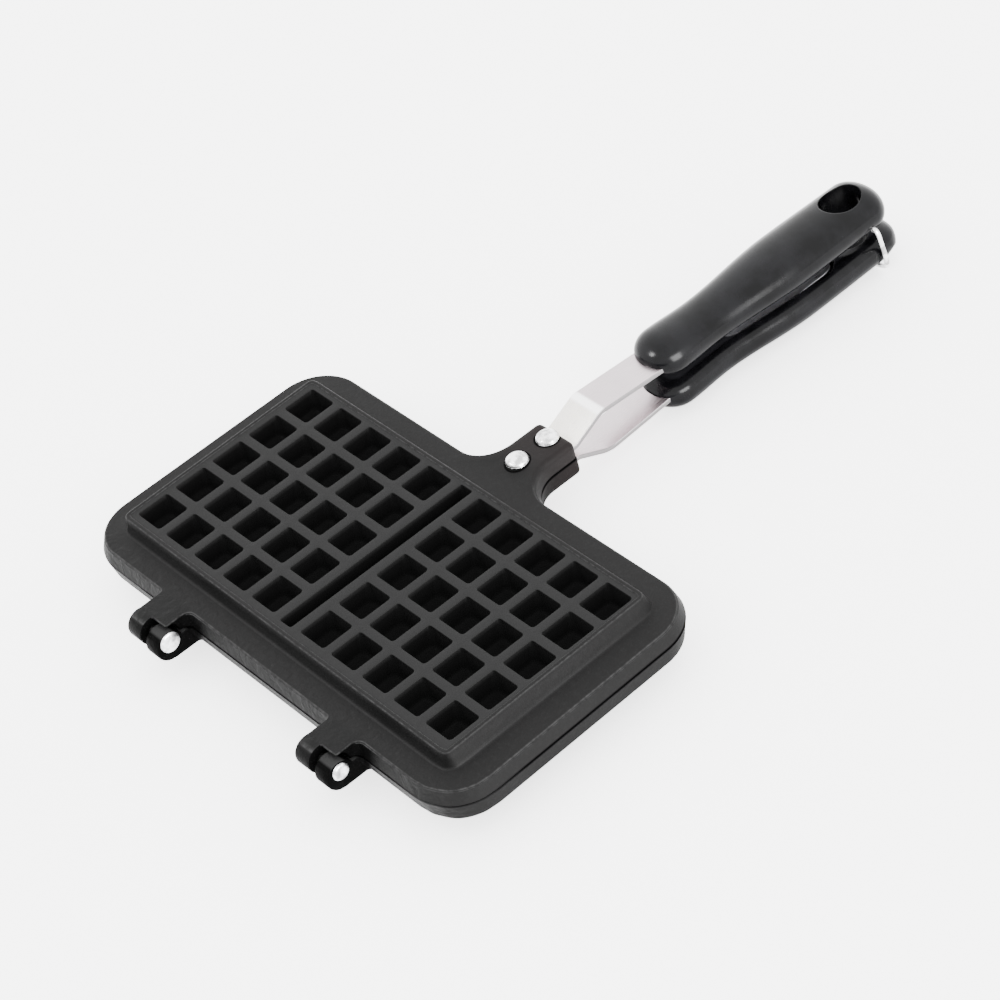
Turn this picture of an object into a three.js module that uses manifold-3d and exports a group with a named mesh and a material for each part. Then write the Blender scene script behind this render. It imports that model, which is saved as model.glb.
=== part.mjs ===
// Stovetop waffle iron: two hinged cast plates on long handles, held shut by a wire bail.
// Millimetres, +Z up, +Y towards the handles, X along the hinge axis.
// The halves are alike but for the lower plate's deeper rim and narrower ears. Each is modelled as
// the upper one, with z = 0 on the plane where the plates meet and y = 0 at the middle of the
// cells, and the lower one is turned over about Y.
import * as THREE from "three";
import { mergeVertices } from "three/addons/utils/BufferGeometryUtils.js";
import Module from "manifold-3d";

const wasm = await Module();
wasm.setup();

// Clearances
const gap = 0.3; // between pieces that lie against each other
const halfPlateGap = 0.15; // from each plate's face to the meeting plane
const overrun = 1; // how far a cutting body runs past a face
const sink = 0.4; // how far a joined body reaches into its neighbour

// Cells: hollows outside, studs inside
const cellPitch = 19.4;
const cellRows = 5;
const cellColumns = 5;
const cellMouth = 15.1;
const cellFloor = 11.5;
const cellCorner = 1.5;
const studWall = 1.4;
const studFloor = 1.3;
const studClearance = 2.2; // from a stud's tip to the meeting plane
const skin = 2.6;

// Channel between the two waffles, a ridge inside
const dividerGap = 12.4; // added between the two middle columns
const channelMouth = 7.2;
const channelFloor = 3.8;
const channelCorner = 1.2;
const channelEndLand = 3;

// Raised block that holds the cells
const blockHeight = 7.1;
const blockBorderX = 2.45;
const blockBorderY = 3.7;
const blockDraft = 3.4;
const blockTopCorner = 3.3;
const blockBaseCorner = 7.2;
const beadWidth = 1.7;
const beadHeight = 0.5;
const sideWall = 2.6;
const cavityCorner = 4;

// Flat flange round the block
const upperRimHeight = 6.5;
const lowerRimHeight = 9.2;
const flangeRimX = 11.3;
const flangeRimY = 10.15;
const flangeCorner = 20.4;
const skirtFlare = 2.2;
const flangeEdge = 0.7;

// Lug that carries the strap
const lugHalfWidth = 11.1;
const lugLength = 30.65;
const lugFillet = 15.5;
const lugCorner = 5;
const lugCrown = 1.8; // how far the lug's middle stands over its edge
const lugCrownSlope = 2.4;

// Hinges
const hingeOffset = 55.3; // from the middle of the pair to the middle of a hinge
const hingeShift = 2.1; // of the pair to the right of the plate's middle
const hingeWidth = 19.9;
const hingeReach = 11.25; // from the skirt's edge to the pin
const upperEarWidth = 8.95;
const lowerEarWidth = 6.2;
const barrelRadius = 6.6;
const barrelClearance = 0.7;
const pinRadius = 2.4;
const pinHeadRadius = 4.6;
const pinHeadRise = 1.5;
const pinTailRadius = 3.8;
const pinTailRise = 1.2;
const pinDimple = 0.5;

// Straps: flat in the lug, raised to the handle, flat again in the handle
const strapWidth = 17.5;
const strapThickness = 2.2;
const strapInset = 28; // how far the strap reaches into the lug
const strapFlatHeight = 3; // from the meeting plane to the middle of the strap
const strapFirstBend = 3.2; // from the first bend to the lug's end
const strapCrestAdvance = 20.2;
const strapCrestHeight = 10.2;
const strapFirstRadius = 7;
const strapCrestRadius = 9;
const tangHeight = 4.6;
const tangBendRadius = 40;

// Rivets through lug and strap
const rivetRadius = 2.5;
const rivetHeadRadius = 4.9;
const rivetHeadRise = 2.6;
const rivetTailRadius = 4;
const rivetTailRise = 0.9;
const rivetEndDistance = 5.2; // from the outer rivet to the lug's end
const rivetSpacing = 16.3;

// Handles
const handleStart = 47.4; // from the lug's end to the nose
const handleLength = 135.4;
const upperTrim = 3; // how much shorter the upper handle is
const handleAxis = 9.1; // height of the handle's middle over the meeting plane
const handleInnerFace = 2;
const noseHalfWidth = 13;
const waistHalfWidth = 12;
const bellyHalfWidth = 15.2;
const tailHalfWidth = 14.4;
const waistPlace = 34; // from the nose
const bellyPlace = 80;
const noseCap = 12.5;
const tailCap = 10.5;
const riseShare = 0.645; // height of the outer side over its half width
const tipShare = 0.06; // size of the first and last section over the full one
const outerPower = 0.95; // 1 is an ellipse, less is squarer
const innerPower = 0.72;
const capShares = [0, 0.03, 0.12, 0.27, 0.46, 0.7, 1];
const bodyShares = [0.1, 0.2, 0.3, 0.4, 0.5, 0.6, 0.7, 0.8, 0.9];

// Pocket in a handle's inner face, in which the tang shows
const pocketStart = 39; // from the nose
const pocketLength = 64;
const pocketFrontHalfWidth = 6.6;
const pocketRearHalfWidth = 10.6;
const tangEndGap = 1.6; // from the tang's end to the pocket's

// Screws and the inserts moulded into the handles
const screwFirst = 14; // from the tang's end
const screwSpacing = 24;
const screwRadius = 1.6;
const screwHeadRadius = 3.2;
const screwHeadRise = 1.1;
const screwLength = 8;
const insertRadius = 3;
const insertLength = 6;

// Hanging hole
const hangHoleFromEnd = 20.6;
const hangHoleHalfWidth = 8.2;
const hangHoleHalfLength = 10;

// Wire bail
const wireRadius = 1.25;
const bailPivotFromEnd = 17.2;
const bailPivotHeight = 6.2;
const bailSideGap = 0.4;
const bailPinDepth = 5;
const bailLean = 3.5; // how far the bottom lies behind the pivot
const bailDrop = 25; // from the pivot to the bottom
const bailElbow = 2.4;
const elbowShare = 0.3; // where the elbow's middle lies in its square
const bailTaper = 1.8; // how far each leg comes in on its way down
const bailBend = 9; // depth of the bail's round bottom
const bailClearance = 0.4; // from the wire to the lower handle
const shoulderLead = 1.4; // from the lower handle's shoulder to the pivot

// Facets
const cornerSteps = 4;
const cellCornerSteps = 1;
const roundSteps = 24;
const smallRoundSteps = 16;
const bendSteps = 4;
const sectionSteps = 28;
const wireSides = 8;
const wireSteps = 60;
const bailBendSteps = 5;
const domeSteps = 3;

// Places worked out from the sizes
const plateHeight = upperRimHeight + blockHeight;
const lugHeight = upperRimHeight + lugCrown;
const cellFieldX = dividerGap / 2 + cellColumns * cellPitch - (cellPitch - cellMouth) / 2;
const cellFieldY = (cellRows * cellPitch - (cellPitch - cellMouth)) / 2;
const blockTop = { x: cellFieldX + blockBorderX, y: cellFieldY + blockBorderY };
const blockBase = { x: blockTop.x + blockDraft, y: blockTop.y + blockDraft };
const flangeTop = { x: blockBase.x + flangeRimX, y: blockBase.y + flangeRimY };
const skirt = { x: flangeTop.x + skirtFlare, y: flangeTop.y + skirtFlare };
const cellFloorHeight = studClearance + studFloor;
const lugEnd = flangeTop.y + lugLength;
const hingeAxisY = -(skirt.y + hingeReach);
const noseY = lugEnd + handleStart;
const handleEnd = noseY + handleLength;
const pocketEnd = noseY + pocketStart + pocketLength;
const tangEnd = pocketEnd - tangEndGap;
const hangHoleY = handleEnd - hangHoleFromEnd;
const bailPivotY = handleEnd - bailPivotFromEnd;

// Materials
const castAluminium = new THREE.MeshStandardMaterial({ color: 0x434343, roughness: 0.6, metalness: 0.4 });
const brushedSteel = new THREE.MeshStandardMaterial({ color: 0xded7da, roughness: 0.35, metalness: 1 });
const rivetMetal = new THREE.MeshStandardMaterial({ color: 0xd9dadc, roughness: 0.4, metalness: 1 });
const mouldedBlack = new THREE.MeshStandardMaterial({ color: 0x26282d, roughness: 0.2, metalness: 0 });
const brass = new THREE.MeshStandardMaterial({ color: 0xb8924a, roughness: 0.4, metalness: 1 });

// A closed three.js geometry as a solid.
function solidOf(geometry) {
  const bare = geometry.clone();
  bare.deleteAttribute("normal");
  bare.deleteAttribute("uv");
  const merged = mergeVertices(bare, 1e-4);
  const solid = new wasm.Manifold(
    new wasm.Mesh({
      numProp: 3,
      vertProperties: new Float32Array(merged.attributes.position.array),
      triVerts: new Uint32Array(merged.index.array),
    }),
  );
  if (solid.volume() < 0) throw new Error("a body is inside out");
  return solid;
}

// A solid as a geometry, faceted.
function geometryOf(solid) {
  const mesh = solid.getMesh();
  const geometry = new THREE.BufferGeometry();
  const places = new Float32Array(mesh.numVert * 3);
  for (let i = 0; i < mesh.numVert; i++) {
    places.set(mesh.vertProperties.subarray(i * mesh.numProp, i * mesh.numProp + 3), i * 3);
  }
  geometry.setAttribute("position", new THREE.BufferAttribute(places, 3));
  geometry.setIndex(new THREE.BufferAttribute(mesh.triVerts, 1));
  const faceted = geometry.toNonIndexed();
  faceted.computeVertexNormals();
  return faceted;
}

const join = (...solids) => solids.reduce((sum, solid) => sum.add(solid));
const cut = (body, ...solids) => solids.reduce((rest, solid) => rest.subtract(solid), body);

// A body over rings of points. The rings turn anticlockwise seen from where they go.
function loft(rings) {
  const count = rings[0].length;
  const places = rings.flat().flatMap((point) => [point.x, point.y, point.z]);
  const faces = [];
  for (let ring = 0; ring + 1 < rings.length; ring++) {
    for (let i = 0; i < count; i++) {
      const a = ring * count + i;
      const b = ring * count + ((i + 1) % count);
      faces.push(a, b, b + count, a, b + count, a + count);
    }
  }
  const last = (rings.length - 1) * count;
  for (let i = 1; i + 1 < count; i++) {
    faces.push(0, i + 1, i, last, last + i, last + i + 1);
  }
  const geometry = new THREE.BufferGeometry();
  geometry.setAttribute("position", new THREE.Float32BufferAttribute(places, 3));
  geometry.setIndex(faces);
  return solidOf(geometry);
}

function squareRing(half, z, centreX, centreY) {
  const corners = [[1, 1], [-1, 1], [-1, -1], [1, -1]];
  return corners.map(([x, y]) => new THREE.Vector3(centreX + x * half, centreY + y * half, z));
}

// A rectangle with round corners, level at z.
function roundedRing(halfX, halfY, radius, z, steps = cornerSteps, centreX = 0, centreY = 0) {
  const points = [];
  for (let corner = 0; corner < 4; corner++) {
    const signX = corner === 0 || corner === 3 ? 1 : -1;
    const signY = corner < 2 ? 1 : -1;
    for (let step = 0; step <= steps; step++) {
      const turn = ((corner + step / steps) * Math.PI) / 2;
      const x = centreX + signX * (halfX - radius) + radius * Math.cos(turn);
      const y = centreY + signY * (halfY - radius) + radius * Math.sin(turn);
      points.push(new THREE.Vector3(x, y, z));
    }
  }
  return points;
}

function extrudeUp(shape, low, high, curveSegments = bendSteps) {
  const options = { depth: high - low, bevelEnabled: false, curveSegments };
  return solidOf(new THREE.ExtrudeGeometry(shape, options).translate(0, 0, low));
}

// A shape drawn in Y and Z, extruded along X on both sides of the middle.
function extrudeAcross(shape, width) {
  const geometry = new THREE.ExtrudeGeometry(shape, { depth: width, bevelEnabled: false });
  geometry.translate(0, 0, -width / 2);
  const [x, y, z] = [new THREE.Vector3(1, 0, 0), new THREE.Vector3(0, 1, 0), new THREE.Vector3(0, 0, 1)];
  return solidOf(geometry.applyMatrix4(new THREE.Matrix4().makeBasis(y, z, x)));
}

function uprightCylinder(radius, low, high, y = 0) {
  const geometry = new THREE.CylinderGeometry(radius, radius, high - low, smallRoundSteps);
  return solidOf(geometry.rotateX(Math.PI / 2).translate(0, y, (low + high) / 2));
}

function crossCylinder(radius, fromX, toX, y, z) {
  const geometry = new THREE.CylinderGeometry(radius, radius, toX - fromX, roundSteps);
  return solidOf(geometry.rotateZ(Math.PI / 2).translate((fromX + toX) / 2, y, z));
}

function box(fromX, toX, fromY, toY, fromZ, toZ) {
  const geometry = new THREE.BoxGeometry(toX - fromX, toY - fromY, toZ - fromZ);
  return solidOf(geometry.translate((fromX + toX) / 2, (fromY + toY) / 2, (fromZ + toZ) / 2));
}

// A turned piece with its axis along Z, from points of radius and height.
function turned(profile) {
  const points = profile.map(([radius, height]) => new THREE.Vector2(radius, height));
  return solidOf(new THREE.LatheGeometry(points, smallRoundSteps).rotateX(Math.PI / 2));
}

// Points of a dome from its rim in to the axis.
function domeProfile(radius, base, rise) {
  const points = [];
  for (let step = 0; step <= domeSteps; step++) {
    const turn = ((step / domeSteps) * Math.PI) / 2;
    points.push([step === domeSteps ? 0 : radius * Math.cos(turn), base + rise * Math.sin(turn)]);
  }
  return points;
}

// The half width of a cell at a height, mouth outside and floor near the meeting plane.
function cellHalfWidth(mouth, floor, height) {
  const share = (height - cellFloorHeight) / (plateHeight - cellFloorHeight);
  return (floor + (mouth - floor) * share) / 2;
}

function cellPlaces() {
  const places = [];
  for (const side of [-1, 1]) {
    for (let column = 0; column < cellColumns; column++) {
      for (let row = 0; row < cellRows; row++) {
        places.push({
          x: side * (dividerGap / 2 + (column + 0.5) * cellPitch),
          y: (row - (cellRows - 1) / 2) * cellPitch,
        });
      }
    }
  }
  return places;
}

// The hollow of one cell, with round corners, from its floor to past the top.
function cellHollow(place) {
  const rings = [cellFloorHeight, plateHeight + overrun].map((height) => {
    const half = cellHalfWidth(cellMouth, cellFloor, height);
    return roundedRing(half, half, cellCorner, height, cellCornerSteps, place.x, place.y);
  });
  return loft(rings);
}

// The stud round a hollow, with plain corners.
function studBody(place, top) {
  const rings = [studClearance, top].map((height) => {
    const half = cellHalfWidth(cellMouth, cellFloor, height) + studWall;
    return squareRing(half, height, place.x, place.y);
  });
  return loft(rings);
}

function channelBody(wall, halfLength, low, high) {
  const rings = [low, high].map((height) => {
    const half = cellHalfWidth(channelMouth, channelFloor, height) + wall;
    return roundedRing(half, halfLength, channelCorner, height, cellCornerSteps);
  });
  return loft(rings);
}

function flangeBody(rimHeight) {
  const rings = [
    roundedRing(skirt.x, skirt.y, flangeCorner + skirtFlare, halfPlateGap),
    roundedRing(flangeTop.x, flangeTop.y, flangeCorner, rimHeight - flangeEdge),
    roundedRing(flangeTop.x - flangeEdge, flangeTop.y - flangeEdge, flangeCorner - flangeEdge, rimHeight),
  ];
  return loft(rings);
}

// The block, from some height inside the rim to its top.
function blockBody(low, rimHeight) {
  return loft([
    roundedRing(blockBase.x, blockBase.y, blockBaseCorner, low),
    roundedRing(blockBase.x, blockBase.y, blockBaseCorner, rimHeight),
    roundedRing(blockTop.x, blockTop.y, blockTopCorner, plateHeight),
  ]);
}

// The sunk field inside the bead on the block's top.
function fieldRecess() {
  const halfX = blockTop.x - beadWidth;
  const halfY = blockTop.y - beadWidth;
  const corner = blockTopCorner - beadWidth;
  const floor = plateHeight - beadHeight;
  return loft([
    roundedRing(halfX, halfY, corner, floor),
    roundedRing(halfX, halfY, corner, plateHeight + overrun),
  ]);
}

function cavityBody() {
  const high = plateHeight - skin;
  const lowX = blockBase.x - sideWall;
  const lowY = blockBase.y - sideWall;
  return loft([
    roundedRing(lowX, lowY, cavityCorner, halfPlateGap - overrun),
    roundedRing(lowX, lowY, cavityCorner, halfPlateGap),
    roundedRing(blockTop.x - sideWall, blockTop.y - sideWall, cavityCorner, high),
  ]);
}

// The lug's outline, with fillets into the flange's edge.
function lugShape() {
  const root = flangeTop.y;
  const spread = lugHalfWidth + lugFillet;
  const shape = new THREE.Shape();
  shape.moveTo(-spread, root - flangeRimY / 2);
  shape.lineTo(spread, root - flangeRimY / 2);
  shape.lineTo(spread, root);
  shape.absarc(spread, root + lugFillet, lugFillet, -Math.PI / 2, -Math.PI, true);
  shape.lineTo(lugHalfWidth, lugEnd - lugCorner);
  shape.absarc(lugHalfWidth - lugCorner, lugEnd - lugCorner, lugCorner, 0, Math.PI / 2, false);
  shape.lineTo(lugCorner - lugHalfWidth, lugEnd);
  shape.absarc(lugCorner - lugHalfWidth, lugEnd - lugCorner, lugCorner, Math.PI / 2, Math.PI, false);
  shape.lineTo(-lugHalfWidth, root + lugFillet);
  shape.absarc(-spread, root + lugFillet, lugFillet, 0, -Math.PI / 2, true);
  return shape;
}

// The lug with its crown.
function lugBody() {
  const root = flangeTop.y - flangeRimY / 2;
  const halfLength = (lugEnd - root) / 2;
  const crown = [[sink, 0], [0, 0], [-lugCrown, lugCrownSlope]].map(([below, slope]) => {
    const [halfX, halfY, radius] = [lugHalfWidth, halfLength, lugCorner].map((size) => size - slope);
    return roundedRing(halfX, halfY, radius, upperRimHeight - below, cornerSteps, 0, root + halfLength);
  });
  return extrudeUp(lugShape(), halfPlateGap, upperRimHeight).add(loft(crown));
}

// The room that the strap takes in the lug.
function lugRecess() {
  const half = strapWidth / 2 + gap;
  const roof = strapFlatHeight + strapThickness / 2 + gap;
  const start = lugEnd - strapInset - gap;
  const channel = box(-half, half, start, lugEnd + overrun, halfPlateGap - overrun, roof);
  return channel.add(strapRoom());
}

function rivetPlaces() {
  const outer = lugEnd - rivetEndDistance;
  return [outer - rivetSpacing, outer];
}

// One hinge of the upper plate: an ear at the low end in X, and a body cut back at the other end
// to clear the ear of the lower plate.
function hingeBody(centreX, { rimHeight, earWidth }) {
  const low = centreX - hingeWidth / 2;
  const high = centreX + hingeWidth / 2;
  const rim = flangeTop.y - flangeRimY / 2;
  const body = box(low, high, hingeAxisY, -rim, halfPlateGap, rimHeight);
  const ear = crossCylinder(barrelRadius, low, low + earWidth, hingeAxisY, 0);
  return body.add(ear);
}

function hingeClearance(centreX, { earWidth }) {
  const near = centreX - hingeWidth / 2 + earWidth;
  const far = centreX + hingeWidth / 2 + overrun;
  const radius = barrelRadius + barrelClearance;
  const knuckle = crossCylinder(radius, near, far, hingeAxisY, 0);
  const bore = crossCylinder(pinRadius + gap, centreX - hingeWidth, centreX + hingeWidth, hingeAxisY, 0);
  return knuckle.add(bore);
}

// One plate. The hinges lie a shift to one side, which is to the other side on the turned plate.
function plateSolid(plate) {
  const hinges = [plate.shift - hingeOffset, plate.shift + hingeOffset];
  const outside = join(
    flangeBody(plate.rimHeight),
    blockBody(plate.rimHeight - sink, plate.rimHeight),
    lugBody(),
    ...hinges.map((centreX) => hingeBody(centreX, plate)),
  );
  const shell = cut(outside, cavityBody(), fieldRecess(), lugRecess());
  const studTop = plateHeight - skin + sink;
  const ridgeEnd = blockBase.y - sideWall + sink;
  const studs = cellPlaces().map((place) => studBody(place, studTop));
  const inside = join(...studs, channelBody(studWall, ridgeEnd, studClearance, studTop));
  const room = blockBody(halfPlateGap, plate.rimHeight);
  const top = plateHeight + overrun;
  const hollows = cellPlaces().map(cellHollow);
  const channelHalf = blockTop.y - channelEndLand;
  const rivetHoles = rivetPlaces().map((y) => uprightCylinder(rivetRadius + gap, -overrun, top, y));
  return cut(
    shell.add(inside.intersect(room)),
    ...hollows,
    channelBody(0, channelHalf, cellFloorHeight, top),
    ...hinges.map((centreX) => hingeClearance(centreX, plate)),
    ...rivetHoles,
  );
}

// Corner points of the strap's middle line in Y and Z, each with its bend radius.
function strapLine() {
  const firstBend = lugEnd - strapFirstBend;
  const crest = firstBend + strapCrestAdvance;
  const nose = noseY + noseCap / 2;
  const settle = noseY + pocketStart + pocketLength / 3;
  return [
    { y: lugEnd - strapInset, z: strapFlatHeight, radius: 0 },
    { y: firstBend, z: strapFlatHeight, radius: strapFirstRadius },
    { y: crest, z: strapCrestHeight, radius: strapCrestRadius },
    { y: settle, z: tangHeight, radius: tangBendRadius },
    { y: Math.max(tangEnd, nose), z: tangHeight, radius: 0 },
  ];
}

// The middle line with its bends as arcs, as points and normals.
function strapPath() {
  const corners = strapLine();
  const path = [];
  corners.forEach((corner, i) => {
    const here = new THREE.Vector2(corner.y, corner.z);
    const before = corners[i - 1];
    const after = corners[i + 1];
    const incoming = before && here.clone().sub(new THREE.Vector2(before.y, before.z)).normalize();
    const outgoing = after && new THREE.Vector2(after.y, after.z).sub(here).normalize();
    if (!before || !after) {
      const along = incoming ?? outgoing;
      path.push({ point: here, normal: new THREE.Vector2(-along.y, along.x) });
      return;
    }
    const turn = Math.asin(incoming.x * outgoing.y - incoming.y * outgoing.x);
    const reach = corner.radius * Math.tan(Math.abs(turn) / 2);
    const side = Math.sign(turn);
    const start = here.clone().addScaledVector(incoming, -reach);
    const across = new THREE.Vector2(-incoming.y, incoming.x);
    const centre = start.clone().addScaledVector(across, side * corner.radius);
    for (let step = 0; step <= bendSteps; step++) {
      const normal = across.clone().rotateAround(new THREE.Vector2(), (turn * step) / bendSteps);
      path.push({ point: centre.clone().addScaledVector(normal, -side * corner.radius), normal });
    }
  });
  return path;
}

// A band of some thickness and width along the strap's line.
function strapBand(thickness, width, trimStart = 0) {
  const path = strapPath();
  path[0].point.x += trimStart;
  const upper = path.map(({ point, normal }) => point.clone().addScaledVector(normal, thickness / 2));
  const lower = path.map(({ point, normal }) => point.clone().addScaledVector(normal, -thickness / 2));
  return extrudeAcross(new THREE.Shape([...lower, ...upper.reverse()]), width);
}

function strapRoom() {
  return strapBand(strapThickness + 2 * gap, strapWidth + 2 * gap);
}

// Plan of the strap: square in the lug, round at the tang's end.
function strapPlan() {
  const half = strapWidth / 2;
  const shape = new THREE.Shape();
  shape.moveTo(-half, lugEnd - strapInset);
  shape.lineTo(half, lugEnd - strapInset);
  shape.lineTo(half, tangEnd - half);
  shape.absarc(0, tangEnd - half, half, 0, Math.PI, false);
  return extrudeUp(shape, -overrun, strapCrestHeight + strapThickness + overrun, roundSteps / 2);
}

function screwPlaces() {
  const rear = tangEnd - screwFirst;
  return [rear - screwSpacing, rear];
}

function strapSolid() {
  const high = strapCrestHeight;
  const rivetHoles = rivetPlaces().map((y) => uprightCylinder(rivetRadius + gap, 0, high, y));
  const screwHoles = screwPlaces().map((y) => uprightCylinder(screwRadius + gap, 0, high, y));
  const band = strapBand(strapThickness, strapWidth + overrun).intersect(strapPlan());
  return cut(band, ...rivetHoles, ...screwHoles);
}

// A rivet: domed head on the lug, shank through the strap, flat tail inside.
function rivetSolid() {
  const tailHigh = strapFlatHeight - strapThickness / 2 - gap;
  const headLow = lugHeight + gap;
  return turned([
    [0, tailHigh - rivetTailRise],
    [rivetTailRadius, tailHigh - rivetTailRise],
    [rivetTailRadius, tailHigh],
    [rivetRadius, tailHigh],
    [rivetRadius, headLow],
    ...domeProfile(rivetHeadRadius, headLow, rivetHeadRise),
  ]);
}

// A hinge pin along Z, domed head up and peened tail down.
function pinSolid() {
  const high = hingeWidth / 2 + gap;
  const rim = pinTailRadius / 2;
  return turned([
    [0, -high - pinTailRise + pinDimple],
    [rim, -high - pinTailRise],
    [pinTailRadius, -high - pinTailRise / 2],
    [pinTailRadius, -high],
    [pinRadius, -high],
    [pinRadius, high],
    ...domeProfile(pinHeadRadius, high, pinHeadRise),
  ]);
}

// Half width of a handle at a distance from its nose, before the round ends.
function handleHalfWidth(along) {
  const knots = [
    [0, noseHalfWidth],
    [noseCap, noseHalfWidth],
    [waistPlace, waistHalfWidth],
    [bellyPlace, bellyHalfWidth],
    [handleLength, tailHalfWidth],
  ];
  const next = knots.findIndex(([place]) => place >= along);
  if (next <= 0) return knots[0][1];
  const [[fromPlace, from], [toPlace, to]] = [knots[next - 1], knots[next]];
  const share = (along - fromPlace) / (toPlace - fromPlace);
  return from + (to - from) * THREE.MathUtils.smoothstep(share, 0, 1);
}

// How far the round ends draw the section in, from 0 at the tip to 1 along the body.
function capShare(along, length) {
  const fromNose = Math.min(along / noseCap, 1);
  const fromTail = Math.min((length - along) / tailCap, 1);
  const share = Math.min(fromNose, fromTail);
  return Math.sqrt(Math.max(1 - (1 - share) ** 2, 0));
}

// A section of a handle: an oval with a flatter inner side.
function handleRing(along, length) {
  const cap = Math.max(capShare(along, length), tipShare);
  const halfWidth = handleHalfWidth(along) * cap;
  const rise = halfWidth * riseShare;
  const fall = (handleAxis - handleInnerFace) * cap;
  const points = [];
  for (let i = 0; i < sectionSteps; i++) {
    const turn = (-2 * Math.PI * i) / sectionSteps;
    const cosine = Math.cos(turn);
    const sine = Math.sin(turn);
    const power = sine > 0 ? outerPower : innerPower;
    const x = halfWidth * Math.sign(cosine) * Math.abs(cosine) ** power;
    const z = (sine > 0 ? rise : fall) * Math.sign(sine) * Math.abs(sine) ** power;
    points.push(new THREE.Vector3(x, noseY + along, handleAxis + z));
  }
  return points;
}

function handleStations(length) {
  const body = length - noseCap - tailCap;
  return [
    ...capShares.map((share) => noseCap * share),
    ...bodyShares.map((share) => noseCap + body * share),
    ...capShares.map((share) => length - tailCap * share).reverse(),
  ];
}

// The pocket that bares the tang: a slot that widens to the rear.
function pocketBody() {
  const front = noseY + pocketStart + pocketFrontHalfWidth;
  const rear = pocketEnd - pocketRearHalfWidth;
  const shape = new THREE.Shape();
  shape.absarc(0, front, pocketFrontHalfWidth, Math.PI, 2 * Math.PI, false);
  shape.lineTo(pocketRearHalfWidth, rear);
  shape.absarc(0, rear, pocketRearHalfWidth, 0, Math.PI, false);
  const roof = tangHeight + strapThickness / 2 + gap;
  return extrudeUp(shape, -overrun, roof, roundSteps / 2);
}

function hangingHole() {
  const shape = new THREE.Shape();
  shape.absellipse(0, hangHoleY, hangHoleHalfWidth, hangHoleHalfLength, 0, 2 * Math.PI, false);
  return extrudeUp(shape, -overrun, 2 * handleAxis + bellyHalfWidth, roundSteps / 2);
}

function handleSolid(length) {
  const rings = handleStations(length).map((along) => handleRing(along, length));
  const insertHigh = tangHeight + strapThickness / 2 + 3 * gap + insertLength;
  const insertRooms = screwPlaces().map((y) => uprightCylinder(insertRadius + gap, tangHeight, insertHigh, y));
  return cut(loft(rings), strapRoom(), pocketBody(), hangingHole(), ...insertRooms);
}

// Half the distance between the bail's legs at the pivot.
function bailHalfWidth() {
  return handleHalfWidth(handleLength - bailPivotFromEnd) + bailSideGap + wireRadius;
}

// What the wire leaves free as it turns about its pivot, a body round the X axis there.
function bailSweep() {
  const margin = wireRadius + bailClearance;
  const profile = bailProfile().map(([x, down]) => new THREE.Vector2(down, x));
  const inner = profile.map(({ x: down, y: x }) => new THREE.Vector2(Math.max(down - margin, 0), x - margin));
  const half = [new THREE.Vector2(0, inner[0].y), ...inner.slice(1, -1)];
  const tip = new THREE.Vector2(bailDrop - margin, 0);
  const mirrored = half.map(({ x, y }) => new THREE.Vector2(x, -y));
  const points = [...mirrored, tip, ...half.reverse()];
  const geometry = new THREE.LatheGeometry(points, 2 * roundSteps).rotateZ(-Math.PI / 2);
  return solidOf(geometry.translate(0, bailPivotY, -bailPivotHeight));
}

// The lower handle, drawn as an upper one, gives way behind its shoulder to the bail's turn.
function lowerHandleSolid() {
  const shoulder = bailPivotY - shoulderLead;
  const wide = bellyHalfWidth + overrun;
  const behind = box(-wide, wide, shoulder, handleEnd + overrun, -overrun, handleAxis + wide);
  return cut(handleSolid(handleLength), behind.subtract(bailSweep()));
}

function bailRooms() {
  const outer = bailHalfWidth();
  const inner = outer - wireRadius - bailSideGap - bailPinDepth - gap;
  const radius = wireRadius + gap;
  return join(
    crossCylinder(radius, inner, outer, bailPivotY, bailPivotHeight),
    crossCylinder(radius, -outer, -inner, bailPivotY, bailPivotHeight),
  );
}

// One side of the bail's line, as places across and down, from its elbow to its bottom.
function bailProfile() {
  const half = bailHalfWidth();
  const foot = half - bailTaper;
  const legEnd = bailDrop - bailBend;
  const points = [[half, bailElbow], [(half + foot) / 2, (bailElbow + legEnd) / 2], [foot, legEnd]];
  for (let step = 1; step <= bailBendSteps; step++) {
    const turn = ((step / bailBendSteps) * Math.PI) / 2;
    points.push([foot * Math.cos(turn), legEnd + bailBend * Math.sin(turn)]);
  }
  return points;
}

// The bail's middle line, in its leaning plane.
function bailCurve() {
  const half = bailHalfWidth();
  const pin = half - wireRadius - bailSideGap - bailPinDepth;
  const corner = half - bailElbow;
  const side = [[pin, 0], [corner, 0], [half - bailElbow * elbowShare, bailElbow * elbowShare], ...bailProfile()];
  const flat = [...side, ...side.slice(0, -1).reverse().map(([x, down]) => [-x, down])];
  const lean = bailLean / bailDrop;
  const points = flat.map(
    ([x, down]) => new THREE.Vector3(x, bailPivotY + down * lean, bailPivotHeight - down),
  );
  return new THREE.CatmullRomCurve3(points, false, "centripetal");
}

function bailSolid() {
  const section = new THREE.Shape();
  section.absarc(0, 0, wireRadius, 0, 2 * Math.PI, false);
  const points = section.getPoints(wireSides / 2);
  const round = new THREE.Shape(points.slice(0, -1));
  const options = { steps: wireSteps, bevelEnabled: false, extrudePath: bailCurve() };
  return solidOf(new THREE.ExtrudeGeometry(round, options));
}

// A screw with its head towards the meeting plane.
function screwSolid() {
  const headHigh = tangHeight - strapThickness / 2 - gap;
  return turned([
    [0, headHigh - screwHeadRise],
    [screwHeadRadius, headHigh - screwHeadRise],
    [screwHeadRadius, headHigh],
    [screwRadius, headHigh],
    [screwRadius, headHigh + screwLength],
    [0, headHigh + screwLength],
  ]);
}

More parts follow.
